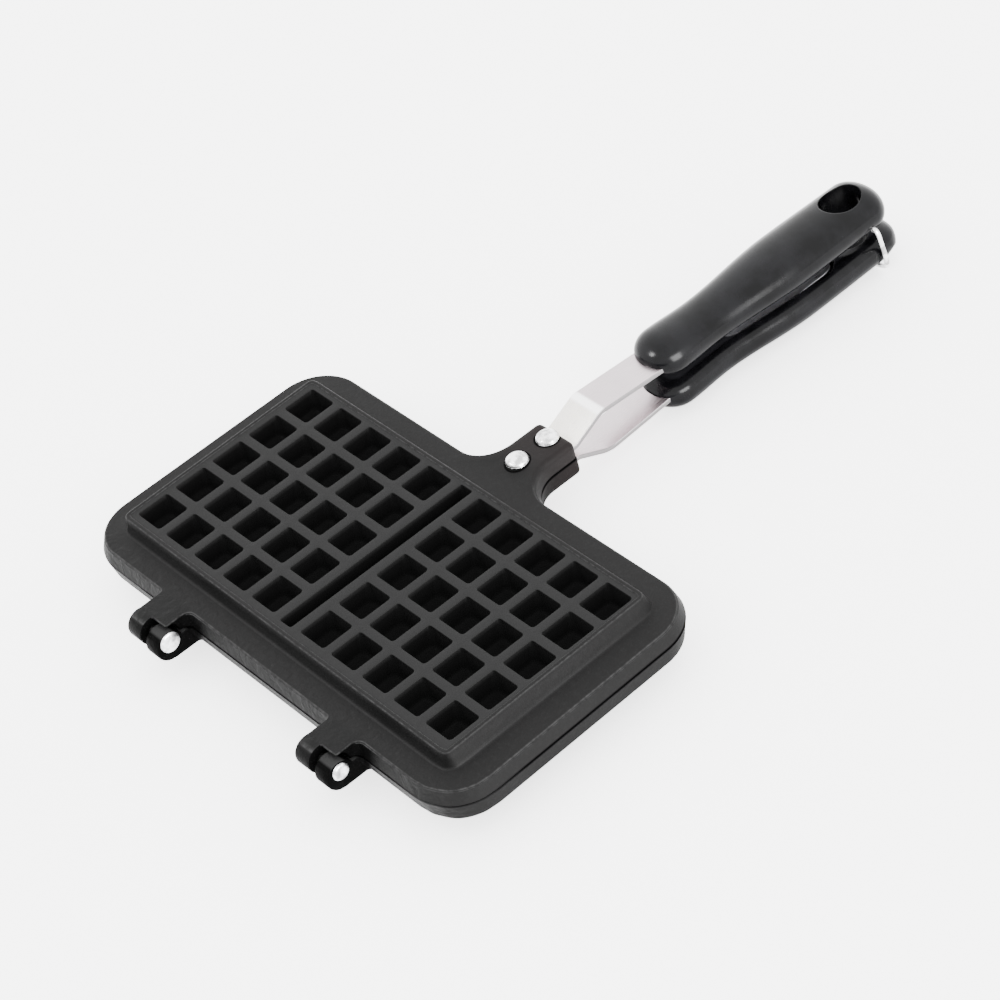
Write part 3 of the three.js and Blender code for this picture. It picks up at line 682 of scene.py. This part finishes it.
def make_strap(word):
    """A flat bar with rounded edges along the strap's line and a round end."""
    path = strap_line(CRESTS[word])
    half, thick, soft = STRAP_WIDTH / 2, STRAP_THICK / 2, 0.45
    section = []
    for sx, sz, start in ((1, -1, -90), (1, 1, 0), (-1, 1, 90), (-1, -1, 180)):
        section += arc(sx * (half - soft), sz * (thick - soft), soft, start, start + 90, 4)
    shell = Shell()
    ring = None
    for i, point in enumerate(path):
        a, b = path[max(i - 1, 0)], path[min(i + 1, len(path) - 1)]
        along = (b - a).normalized()
        up = Vector((-along.y, along.x))
        reach = TANG_END - point.x
        narrow = sqrt(max(1 - (1 - min(reach / half, 1)) ** 2, 0.0025))
        points = [(x * narrow, *(point + up * z)) for x, z in section]
        if ring:
            ring = shell.grow(ring, points)
        else:
            ring = shell.ring(points)
            shell.faces.append(tuple(ring))
    shell.faces.append(tuple(reversed(ring)))
    obj = face_outwards(new_object(f"{word}_strap_bar", shell.verts, shell.faces))
    finish(obj, 40, word, "strap")
    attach(obj, f"{word}_half")
    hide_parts(f"{word}_strap")


# Handles
def handle_half_width(along):
    for (a, low), (b, high) in zip(HANDLE_KNOTS, HANDLE_KNOTS[1:]):
        if along <= b:
            return low + (high - low) * smooth_share(a, b, along)
    return HANDLE_KNOTS[-1][1]


def handle_mesh(name, length):
    """An oval that swells and narrows along its length, with round ends."""
    nose, tail, around = 12.5, 10.5, 112
    ends = [1 - cos(pi / 2 * i / 14) for i in range(1, 15)]
    middle = [nose + (length - nose - tail) * i / 60 for i in range(1, 60)]
    stations = [nose * e for e in ends] + middle + [length - tail * e for e in reversed(ends)]
    shell = Shell()
    tip = shell.ring([(0, NOSE, HANDLE_AXIS)])[0]
    ring = None
    for along in stations:
        share = min(along / nose, (length - along) / tail, 1)
        cap = sqrt(max(1 - (1 - share) ** 2, 0))
        half = handle_half_width(along) * cap
        rise, fall = half * HANDLE_RISE, (HANDLE_AXIS - INNER_FACE) * cap
        points = []
        for i in range(around):
            turn = 2 * pi * i / around
            c, s = cos(turn), sin(turn)
            power = 0.95 - 0.23 * smooth_share(0.1, -0.5, s)
            x = half * copysign(abs(c) ** power, c)
            z = (rise if s > 0 else fall) * copysign(abs(s) ** power, s)
            points.append((x, NOSE + along, HANDLE_AXIS + z))
        if ring:
            ring = shell.grow(ring, points)
        else:
            ring = shell.ring(points)
            for i in range(around):
                shell.faces.append((tip, ring[(i + 1) % around], ring[i]))
    shell.cap(ring, (0, NOSE + length, HANDLE_AXIS))
    return face_outwards(new_object(name, shell.verts, shell.faces))


def bail_profile():
    """The bail's half width, and half of its line as pairs of across and down from the pivot."""
    half = handle_half_width(PIVOT[0] - NOSE) + WIRE_ROOM + WIRE
    foot, leg_end = half - 0.3, BAIL_DROP - BAIL_CORNER
    points = [(half, BAIL_BEND), (half, (BAIL_BEND + leg_end) / 2), (foot, leg_end)]
    steps = 8
    for i in range(1, steps + 1):
        turn = pi / 2 * i / steps
        across = foot * cos(turn) ** 0.6 if i < steps else 0.0
        points.append((across, leg_end + BAIL_CORNER * sin(turn) ** 0.8))
    return half, points


def tail_cutter():
    """What the lower handle gives up behind its shoulder, so that the bail can swing off."""
    margin = WIRE + WIRE_ROOM
    _, profile = bail_profile()
    inner = [(max(down - margin, 0), x - margin) for x, down in profile[:-1]]
    inner[0] = (0, inner[0][1])
    there = [(r, -x) for r, x in inner]
    room = turned_piece("room", there + [(BAIL_DROP - margin, 0)] + list(reversed(inner)), 96)
    centre = Matrix.Translation((0, PIVOT[0], -PIVOT[1]))
    room.data.transform(centre @ Matrix.Rotation(pi / 2, 4, "Y"))
    shoulder, end, side = PIVOT[0] - 1.4, 290, 20
    corners = [(-side, shoulder), (side, shoulder), (side, end), (-side, end)]
    return boolean(upright_prism("behind", corners, *THROUGH), room)


def make_handle(word):
    """A handle with its hanging hole, the pocket round the tang and, on the lower one, the stepped tail."""
    obj = handle_mesh(f"{word}_grip", HANDLE_LENGTH - HANDLE_TRIM[word])
    y, across, along = HOLE
    turns = np.linspace(0, 2 * pi, 97)[:-1]
    hole = [(across * cos(a), y + along * sin(a)) for a in turns]
    boolean(obj, upright_prism("hole", hole, *THROUGH))
    front, rear, narrow, wide = POCKET
    pocket = arc(0, front + narrow, narrow, 180, 360, 24) + arc(0, rear - wide, wide, 0, 180, 30)
    boolean(obj, upright_prism("pocket", pocket, THROUGH[0], TANG_Z + 1.4))
    if word == "lower":
        boolean(obj, tail_cutter())
    finish(obj, 32, word, "bakelite")
    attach(obj, f"{word}_half")
    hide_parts(f"{word}_handle")


def dome(radius, base, rise):
    """Pairs of radius and height over a dome, from its edge to its top."""
    points, steps = [], 10
    for i in range(steps + 1):
        turn = pi / 2 * i / steps
        points.append((0 if i == steps else radius * cos(turn), base + rise * sin(turn)))
    return points


def make_rivet(word, end, y):
    """A rivet through lug and strap: a flat tail in the seat, a shank and a domed head on the lug."""
    tail, head = 1.6, LUG_TOP + 0.05
    profile = [
        (0, tail - 0.9), (3.7, tail - 0.9), (4, tail - 0.6), (4, tail), (2.5, tail),
        (2.5, head - 0.4), (4.5, head - 0.4), (4.8, head - 0.2), (4.95, head + 0.1),
    ]
    profile += dome(4.85, head + 0.25, 2.4)
    obj = turned_piece(f"{word}_rivet_head_{end}", profile, 64)
    obj.data.transform(Matrix.Translation((0, y, 0)))
    finish(obj, 50, word, "rivet")
    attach(obj, f"{word}_half")
    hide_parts(f"{word}_rivet_{end}")


def make_pin(word, side):
    """One hinge pin: a domed head at one end, a peened tail with a dimple at the other."""
    high = HINGE_HALF + 0.05
    profile = [
        (0, -high - 0.7), (1.2, -high - 0.95), (2.1, -high - 1.2), (2.9, -high - 1.15),
        (3.6, -high - 0.75), (3.8, -high - 0.3), (3.7, -high), (PIN_SHANK, -high),
        (PIN_SHANK, high), (4.4, high), (4.6, high + 0.15),
    ]
    profile += dome(4.55, high + 0.3, 1.2)
    obj = turned_piece(f"hinge_pin_{word}_turned", profile, 64)
    centre = Matrix.Translation((HINGE_SHIFT + side * HINGE_OFFSET, HINGE_Y, 0))
    obj.data.transform(centre @ Matrix.Rotation(-side * pi / 2, 4, "Y"))
    finish(obj, 50, "upper", "pin", "shank")
    # The faces along the pin's axis take the shank material, near-black as painted shade in the gap between
    # the ears.
    for polygon in obj.data.polygons:
        polygon.material_index = int(abs(polygon.normal.x) < 0.1 and polygon.area > 1e-6)
    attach(obj, "lower_half")
    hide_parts(f"hinge_pin_{word}")


def make_bail():
    """The wire, swept along its line with round bends."""
    half, profile = bail_profile()
    pin = half - WIRE - WIRE_ROOM - 5
    side = [(pin, 0), (half - BAIL_BEND - 1.5, 0), (half - BAIL_BEND, 0)]
    for turn in (pi / 8, pi / 4, 3 * pi / 8):
        side.append((half - BAIL_BEND + BAIL_BEND * sin(turn), BAIL_BEND * (1 - cos(turn))))
    side += profile
    flat = side + [(-x, d) for x, d in reversed(side[:-1])]
    lean = BAIL_LEAN / BAIL_DROP
    knots = np.array([(x, PIVOT[0] + d * lean, PIVOT[1] - d) for x, d in flat])
    path = smooth_path(knots, 0.35)
    shell = Shell()
    ring = None
    angles = [2 * pi * k / 20 for k in range(20)]
    for i, point in enumerate(path):
        along = path[min(i + 1, len(path) - 1)] - path[max(i - 1, 0)]
        along /= np.linalg.norm(along)
        side_way = np.array([0.0, 1.0, lean])
        side_way -= along * side_way.dot(along)
        side_way /= np.linalg.norm(side_way)
        other = np.cross(along, side_way)
        points = [point + WIRE_DRAWN * (cos(a) * side_way + sin(a) * other) for a in angles]
        if ring:
            ring = shell.grow(ring, points)
        else:
            ring = shell.ring(points)
            shell.faces.append(tuple(reversed(ring)))
    shell.faces.append(tuple(ring))
    obj = new_object("bail_wire_bent", shell.verts, shell.faces)
    finish(obj, 50, "upper", "wire")
    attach(obj, "bail")
    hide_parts("wire_bail")


def smooth_path(knots, step):
    """A centripetal curve through the knots, cut up evenly from each knot to the next."""
    ends = [2 * knots[0] - knots[1], *knots, 2 * knots[-1] - knots[-2]]
    out = []
    for p0, p1, p2, p3 in zip(ends, ends[1:], ends[2:], ends[3:]):
        t = [0.0]
        for a, b in ((p0, p1), (p1, p2), (p2, p3)):
            t.append(t[-1] + sqrt(np.linalg.norm(b - a)))

        def between(a, b, i, j):
            return (t[j] - u) / (t[j] - t[i]) * a + (u - t[i]) / (t[j] - t[i]) * b

        for u in np.linspace(t[1], t[2], max(3, int(np.linalg.norm(p2 - p1) / step) + 1))[:-1]:
            a1, a2, a3 = between(p0, p1, 0, 1), between(p1, p2, 1, 2), between(p2, p3, 2, 3)
            out.append(between(between(a1, a2, 0, 2), between(a2, a3, 1, 3), 1, 2))
    out.append(knots[-1])
    return out


# Materials. Their lengths are in metres, because the nodes read places in the frame.
MATERIALS = {}
# Tones of the skirt on the hinge side; the lower half's lighter one is painted light from below.
SKIRT_TONES = {"upper": 0.0062, "lower": 0.0170}
PLATE_GLOSS = {"upper": 0.036, "lower": 0.013}
# Name, brightness, roughness, tint and number of facets of each metal. The shank's near-black tone is
# painted shade on the pin in the gap between the hinge ears.
METALS = (
    ("rivet", 0.92, 0.28, (1.0, 1.0, 1.0), 620),
    ("pin", 0.90, 0.32, (1.0, 1.0, 1.01), 620),
    ("wire", 0.78, 0.26, (1.0, 0.99, 0.985), 300),
    ("screw", 0.30, 0.3, (1.0, 0.99, 0.98), 300),
    ("shank", 0.03, 0.5, (1.0, 0.99, 0.98), 300),
)


class Nodes:
    """A small wrapper that makes a material and its nodes."""

    def __init__(self, name):
        self.material = bpy.data.materials.new(name)
        self.material.use_nodes = True
        self.tree = self.material.node_tree
        self.shader = self.tree.nodes["Principled BSDF"]

    def feed(self, socket, value):
        """Links a socket to another, or sets its value."""
        if isinstance(value, bpy.types.NodeSocket):
            self.tree.links.new(value, socket)
        else:
            socket.default_value = value

    def add(self, kind, inputs=None, **settings):
        node = self.tree.nodes.new("ShaderNode" + kind)
        for key, value in settings.items():
            setattr(node, key, value)
        for key, value in (inputs or {}).items():
            self.feed(node.inputs[key], value)
        return node

    def place(self):
        return self.add("TexCoord").outputs["Object"]

    def normal(self):
        return self.add("NewGeometry").outputs["Normal"]

    def split(self, vector):
        """The X, Y and Z of a vector."""
        return self.add("SeparateXYZ", {"Vector": vector}).outputs

    def noise(self, scale, detail=4.0, rough=0.6, stretch=None, distort=0.0):
        where = self.place()
        if stretch:
            where = self.add("Mapping", {"Vector": where, "Scale": stretch}).outputs["Vector"]
        inputs = {"Vector": where, "Scale": scale, "Detail": detail}
        inputs |= {"Roughness": rough, "Distortion": distort}
        return self.add("TexNoise", inputs).outputs["Fac"]

    def ramp(self, value, low, high, from_low=0.0, from_high=1.0):
        inputs = {"Value": value, "From Min": from_low, "From Max": from_high}
        inputs |= {"To Min": low, "To Max": high}
        return self.add("MapRange", inputs).outputs["Result"]

    def rise(self, value, start, end):
        """0 at the start and before it, 1 at the end and past it. The end may be the lower one."""
        return self.ramp(value, 0.0, 1.0, start, end)

    def fall(self, value, start, end):
        return self.ramp(value, 1.0, 0.0, start, end)

    def calc(self, operation, *values):
        return self.add("Math", dict(enumerate(values)), operation=operation).outputs[0]

    def near(self, value, centre, full, none):
        """1 where the value lies within full of the centre, 0 from none on."""
        away = self.calc("ABSOLUTE", self.calc("SUBTRACT", value, centre))
        return self.fall(away, full, none)

    def ring(self, where, plane, centre, radius, half):
        """1 on a ring round a centre, seen along the axis that the plane leaves out."""
        flat = self.add("VectorMath", {0: where, 1: plane}, operation="MULTIPLY").outputs[0]
        away = self.add("VectorMath", {0: flat, 1: centre}, operation="DISTANCE").outputs["Value"]
        return self.near(away, radius, half * 0.5, half)

    def times(self, a, *others):
        for b in others:
            a = self.calc("MULTIPLY", a, b)
        return a

    def most(self, a, *others):
        for b in others:
            a = self.calc("MAXIMUM", a, b)
        return a

    def mix(self, share, a, b):
        return self.add("Mix", {0: share, 6: a, 7: b}, data_type="RGBA").outputs[2]

    def layers(self, tone, *coats):
        """A tone under coats, each a mask, a level of grey and a tint."""
        for share, level, *tint in coats:
            tone = self.mix(share, tone, grey(level, *tint))
        return tone

    def bump(self, heights, radius=None):
        """Bumps on top of each other, each a height, a strength and a distance, over rounded edges."""
        normal = None
        if radius:
            normal = self.add("Bevel", {"Radius": radius}, samples=6).outputs["Normal"]
        for height, strength, distance in heights:
            inputs = {"Height": height, "Strength": strength, "Distance": distance}
            if normal:
                inputs["Normal"] = normal
            normal = self.add("Bump", inputs).outputs["Normal"]
        self.set(Normal=normal)

    def set(self, **values):
        for key, value in values.items():
            self.feed(self.shader.inputs[key.replace("_", " ")], value)


def y_at(y):
    """A place in Y, in the frame."""
    return ORIGIN.y + y / 1000


def z_at(z):
    return ORIGIN.z + z / 1000


def grey(level, tint=(1, 1, 1)):
    return (level * tint[0], level * tint[1], level * tint[2], 1)


def plate_material(word):
    """Dark coated casting, with painted shade that turns it black down in the cells and in the parting
    line, and a tone of its own on each part.
    """
    made = Nodes(f"coated_casting_{word}")
    fine = made.noise(1800, 6, 0.7)
    grain = made.noise(420, 5, 0.65)
    patches = made.noise(28, 3, 0.5)
    where = made.place()
    across, along, height = made.split(where)
    way_x, way_y, way_z = made.split(made.normal())
    sign = SIDES[word]
    rim, rib, floor = (z_at(sign * z) for z in (RIMS[word], RIB_TOP - 0.3, CELL_FLOOR_Z))
    # Painted shade down in the cells and in the channel.
    hollow_shade = made.rise(height, rib, rib + (floor - rib) * 0.2)
    field = made.times(made.near(across, 0.0, 0.1005, 0.1015), made.near(along, ORIGIN.y, 0.0470, 0.0480))
    hollow_shade = made.times(hollow_shade, field)
    # Painted shade in the parting line, which fades at the front right corner and left of the left hinge.
    plates = made.rise(along, y_at(-69), y_at(-67.5))
    seam_shade = made.times(made.near(height, ORIGIN.z, 0.0004, 0.0010), plates)
    front = made.fall(along, y_at(-52), y_at(-30))
    corner = made.times(made.rise(across, 0.085, 0.100), front)
    seam_shade = made.times(seam_shade, made.ramp(corner, 1.0, 0.15), made.ramp(across, 0.2, 1.0, -0.082, -0.070))
    # The skirt on the hinge side, lighter on the lower half as painted light from below; the block's side
    # over it, darker as painted shade; the lug; and the hinge halves, whose upright faces are darker as
    # painted shade.
    skirt = made.rise(along, y_at(-62.5), y_at(-65.5))
    above = made.rise(height, z_at(6.8), z_at(7.8))
    bank_shade = made.times(made.rise(way_y, -0.35, -0.7), above)
    lug = made.rise(along, y_at(68), y_at(90))
    knuckle_shade = made.times(made.fall(plates, 0.0, 1.0), made.near(way_z, 0.0, 0.75, 0.9))
    # Shade beside the hinge halves and round the heads of rivets and pins.
    beside = [made.near(across, x, 0.0040, 0.0110) for x in (0.0690, -0.0415)]
    beside = made.times(made.most(*beside), skirt, made.fall(way_z, 0.6, 0.8))
    hinges = made.fall(along, y_at(-65), y_at(-64))
    shade = made.most(made.times(made.rise(way_x, 0.5, 0.8), hinges), beside)
    for y in RIVETS:
        shade = made.most(shade, made.ring(where, (1, 1, 0), (0, y_at(y), 0), 0.00530, 0.00060))
    pins = made.ring(where, (0, 1, 1), (0, y_at(HINGE_Y), ORIGIN.z), 0.00500, 0.00055)
    shade = made.most(shade, pins)
    # Rib tops, and the painted highlight lines on the rim's outer edge and on the bead, broken up by the
    # grain.
    top = made.near(height, z_at(sign * RIB_TOP), 0.00006, 0.00012)
    edge = made.times(made.near(height, rim, 0.0008, 0.0011), made.near(way_z, sign * 0.7, 0.18, 0.27))
    inner = made.times(made.near(across, 0.0, 0.1100, 0.1110), made.near(along, ORIGIN.y, 0.0580, 0.0590))
    inner = made.most(inner, made.rise(along, y_at(64), y_at(70)))
    edge = made.times(edge, made.fall(inner, 0.0, 1.0))
    bead = made.near(height, z_at(sign * BEAD[1][1]), 0.00009, 0.00020)
    edge_highlight = made.times(made.most(edge, bead), made.ramp(grain, 0.2, 1.0, 0.4, 0.6))
    base = made.layers(
        made.mix(patches, grey(0.0062), grey(0.0082, (1.02, 0.99, 0.99))),
        (made.ramp(grain, 0.0, 0.35, 0.5, 0.75), 0.013),
        (skirt, SKIRT_TONES[word]),
        (bank_shade, 0.0022),
        (lug, 0.0085, (1.15, 0.93, 0.93)),
        (knuckle_shade, 0.0030),
        (shade, 0.0012),
        (top, 0.0105),
        (edge_highlight, 0.022),
        (made.ramp(fine, 0.0, 0.8, 0.60, 0.72), 0.019),
        (made.ramp(fine, 0.7, 0.0, 0.28, 0.40), 0.0020),
        (hollow_shade, 0.0034),
        (seam_shade, 0.0004),
    )
    # Less gloss where shade is painted.
    dark = made.most(hollow_shade, seam_shade, shade, made.times(knuckle_shade, 0.6))
    made.set(Base_Color=base, Roughness=made.ramp(patches, 0.42, 0.56, 0.3, 0.7), Metallic=0.0)
    made.set(Specular_IOR_Level=made.ramp(dark, PLATE_GLOSS[word], 0.006))
    calmer = made.ramp(along, 1.0, 0.1, y_at(-60), y_at(-54))
    lumps = made.times(made.noise(190, 2, 0.5, distort=0.8), calmer)
    made.bump([(lumps, 0.5, 0.0012), (grain, 0.35, 0.0003), (fine, 0.3, 0.00010)])
    return made.material


def strap_material():
    """Brushed steel with painted reflections: creamy on the upper leg, a white painted highlight on its
    crest, rosy past it; painted shade where it runs into the handles.
    """
    made = Nodes("brushed_strap")
    lines = made.noise(900, 3, 0.6, stretch=(6.0, 0.25, 1.0))
    cloud = made.noise(60, 3, 0.5)
    _, along, height = made.split(made.place())
    facing = made.split(made.normal())["X"]
    # Painted reflections: rosy over most of the steel, creamy on the upper leg.
    rosy_reflection = made.mix(cloud, grey(0.40, (1.0, 0.87, 0.91)), grey(0.52, (1.0, 0.89, 0.92)))
    creamy_reflection = made.mix(cloud, grey(0.62, (1.0, 0.95, 0.88)), grey(0.76, (1.0, 0.965, 0.91)))
    upper = made.rise(height, z_at(-0.5), z_at(0.5))
    leg = made.fall(along, y_at(108.5), y_at(113))
    tone = made.mix(made.times(leg, upper), rosy_reflection, creamy_reflection)
    # A white painted highlight along the upper strap's crest.
    crest = made.near(along, y_at(111.3), 0.0012, 0.0026)
    tone = made.mix(made.times(crest, upper), tone, grey(0.97))
    tone = made.mix(made.near(facing, 0.0, 0.35, 0.6), grey(0.15, (1.0, 0.95, 0.96)), tone)
    # Painted shade where the strap runs into the handles.
    handle_shade = made.rise(along, y_at(148), y_at(160))
    tone = made.mix(handle_shade, tone, grey(0.19, (1.0, 1.0, 1.05)))
    made.set(Base_Color=tone, Metallic=1.0, Roughness=made.ramp(lines, 0.24, 0.42, 0.3, 0.7))
    made.bump([(lines, 0.12, 0.00005)], 0.0003)
    return made.material


def bakelite_material():
    """Moulded black: cloudy, glossier towards the top, and greyer on the lower handle's inner face as
    painted light.
    """
    made = Nodes("moulded_bakelite")
    cloud = made.noise(70, 4, 0.6)
    speck = made.noise(2600, 4, 0.7)
    height = made.split(made.place())["Z"]
    upward = made.split(made.normal())["Z"]
    bluish = (1.0, 1.0, 1.2)
    tone = made.mix(made.rise(cloud, 0.38, 0.62), grey(0.0012, bluish), grey(0.0038, bluish))
    # Painted light: the lower handle's inner face, between the handles, made greyer.
    inner = made.near(height, z_at(-INNER_FACE), 0.0003, 0.0006)
    inner = made.times(inner, made.rise(upward, 0.7, 0.9))
    tone = made.mix(inner, tone, grey(0.013, (1.0, 1.0, 1.15)))
    made.set(Base_Color=tone, Metallic=0.0, Roughness=made.ramp(cloud, 0.15, 0.25, 0.35, 0.65))
    made.set(Specular_IOR_Level=made.ramp(upward, 0.030, 0.098, -0.4, 0.55))
    made.bump([(cloud, 0.06, 0.0010), (speck, 0.03, 0.00003)], 0.0007)
    return made.material


def metal_material(name, level, rough, tint, facets):
    """Bright metal with hammered facets, dents and scuffs."""
    made = Nodes(f"bright_{name}")
    inputs = {"Vector": made.place(), "Scale": facets}
    cells = made.add("TexVoronoi", inputs, feature="SMOOTH_F1").outputs["Distance"]
    dents = made.noise(260, 3, 0.55)
    scuffs = made.noise(1500, 4, 0.7)
    tone = made.mix(made.rise(dents, 0.38, 0.6), grey(level * 0.4, tint), grey(level, tint))
    roughness = made.ramp(scuffs, rough - 0.06, rough + 0.1, 0.3, 0.7)
    made.set(Base_Color=tone, Metallic=1.0, Roughness=roughness)
    made.bump([(cells, 0.35, 0.0006), (dents, 0.18, 0.0003), (scuffs, 0.1, 0.00005)], 0.0002)
    return made.material


def brass_material():
    """Brass with fine rings from the lathe."""
    made = Nodes("turned_brass")
    rings = made.noise(900, 3, 0.6, stretch=(1.0, 1.0, 8.0))
    tone = made.mix(rings, (0.48, 0.29, 0.08, 1), (0.58, 0.37, 0.12, 1))
    made.set(Base_Color=tone, Metallic=1.0, Roughness=made.ramp(rings, 0.28, 0.42))
    made.bump([(rings, 0.15, 0.00005)])
    return made.material


def make_materials():
    MATERIALS["strap"] = strap_material()
    MATERIALS["bakelite"] = bakelite_material()
    for name, *values in METALS:
        MATERIALS[name] = metal_material(name, *values)
    MATERIALS["brass"] = brass_material()
    for word in SIDES:
        MATERIALS[f"{word}_casting"] = plate_material(word)


def make_screw(word, end):
    """A round-headed screw with a slot, its head towards the other handle."""
    y = TANG_END - SCREWS[end]
    head = TANG_Z - STRAP_THICK / 2 - 0.05
    crown = head - 1.2
    profile = [(0, crown)] + [(r, crown + d) for r, d in ((1.6, 0.04), (2.5, 0.25), (3.0, 0.6), (3.2, 1.0))]
    profile += [(3.2, head), (1.6, head), (1.6, head + 8), (0, head + 8)]
    obj = turned_piece(f"{word}_screw_slotted_{end}", profile, 48)
    slot = [(-4, -0.4), (4, -0.4), (4, 0.4), (-4, 0.4)]
    boolean(obj, upright_prism("slot", slot, head - 2, head - 0.55))
    obj.data.transform(Matrix.Translation((0, y, 0)))
    finish(obj, 40, word, "screw")
    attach(obj, f"{word}_half")
    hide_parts(f"{word}_tang_screw_{end}")


# The stage. Each lamp: name, direction from the target, distance, side and power.
FLOOR_GLOW = 2.2
SKY = 4.6
LAMPS = (
    ("side_box", (0.94, 0.02, 0.40), 1.3, 0.85, 90),
    ("front_box", (-0.30, -0.63, 0.75), 1.4, 0.35, 25),
)
# The camera's fit on the grid of cells: focal length in pixels, frame in pixels, its axes in the part's
# frame, and the place of the grid's middle in the camera's, in pitches.
FOCAL = 3741.047
FRAME = 1000
SENSOR = 36
RIGHT = Vector((0.6346110, 0.7430113, -0.2126100))
DOWN = Vector((0.4127280, -0.5584240, -0.7195960))
FORWARD = Vector((-0.6533940, 0.3689130, -0.6610440))
MIDDLE = (-2.4903755, 1.0858422, 75.5593097)


def make_stage():
    bpy.ops.mesh.primitive_plane_add(size=8, location=(0, 0, 0))
    floor = bpy.context.object
    floor.name = "studio_floor"
    paper = Nodes("studio_paper")
    cloud = paper.noise(3, 2, 0.5)
    paper.set(Base_Color=paper.mix(cloud, grey(0.90), grey(0.92)), Roughness=0.9)
    paper.set(Emission_Color=(1, 1, 1, 1), Emission_Strength=FLOOR_GLOW)
    floor.data.materials.append(paper.material)
    world = bpy.data.worlds.new("studio")
    bpy.context.scene.world = world
    world.use_nodes = True
    world.node_tree.nodes["Background"].inputs["Color"].default_value = (1, 1, 1, 1)
    world.node_tree.nodes["Background"].inputs["Strength"].default_value = SKY
    target = ORIGIN + Vector((0, 0.09, 0))
    for name, way, distance, size, power in LAMPS:
        light = bpy.data.lights.new(name, "AREA")
        light.shape = "SQUARE"
        light.size = size
        light.energy = power
        lamp = linked(name, light)
        lamp.visible_diffuse = False
        lamp.location = target + Vector(way).normalized() * distance
        lamp.rotation_euler = (target - lamp.location).to_track_quat("-Z", "Y").to_euler()


def make_camera():
    """The photograph's view."""
    centre = -(RIGHT * MIDDLE[0] + DOWN * MIDDLE[1] + FORWARD * MIDDLE[2])
    top = ORIGIN + Vector((0, 0, PLATE_HEIGHT / 1000))
    data = bpy.data.cameras.new("photo_camera")
    data.sensor_width = SENSOR
    data.lens = FOCAL * SENSOR / FRAME
    data.clip_start, data.clip_end = 0.05, 50
    camera = linked("photo_camera", data)
    turn = Matrix((RIGHT, -DOWN, -FORWARD)).transposed().to_4x4()
    camera.matrix_world = Matrix.Translation(top + centre * PITCH / 1000) @ turn
    bpy.context.scene.camera = camera


make_camera()
make_stage()
make_materials()
for word in SIDES:
    make_plate(word)
for word in SIDES:
    make_strap(word)
    make_handle(word)
    for end, y in zip(("inner", "outer"), RIVETS):
        make_rivet(word, end, y)
    for end in ("front", "rear"):
        make_screw(word, end)
        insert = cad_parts[f"{word}_handle_insert_{end}"]
        insert.data.materials.clear()
        insert.data.materials.append(MATERIALS["brass"])
make_pin("left", -1)
make_pin("right", 1)
make_bail()
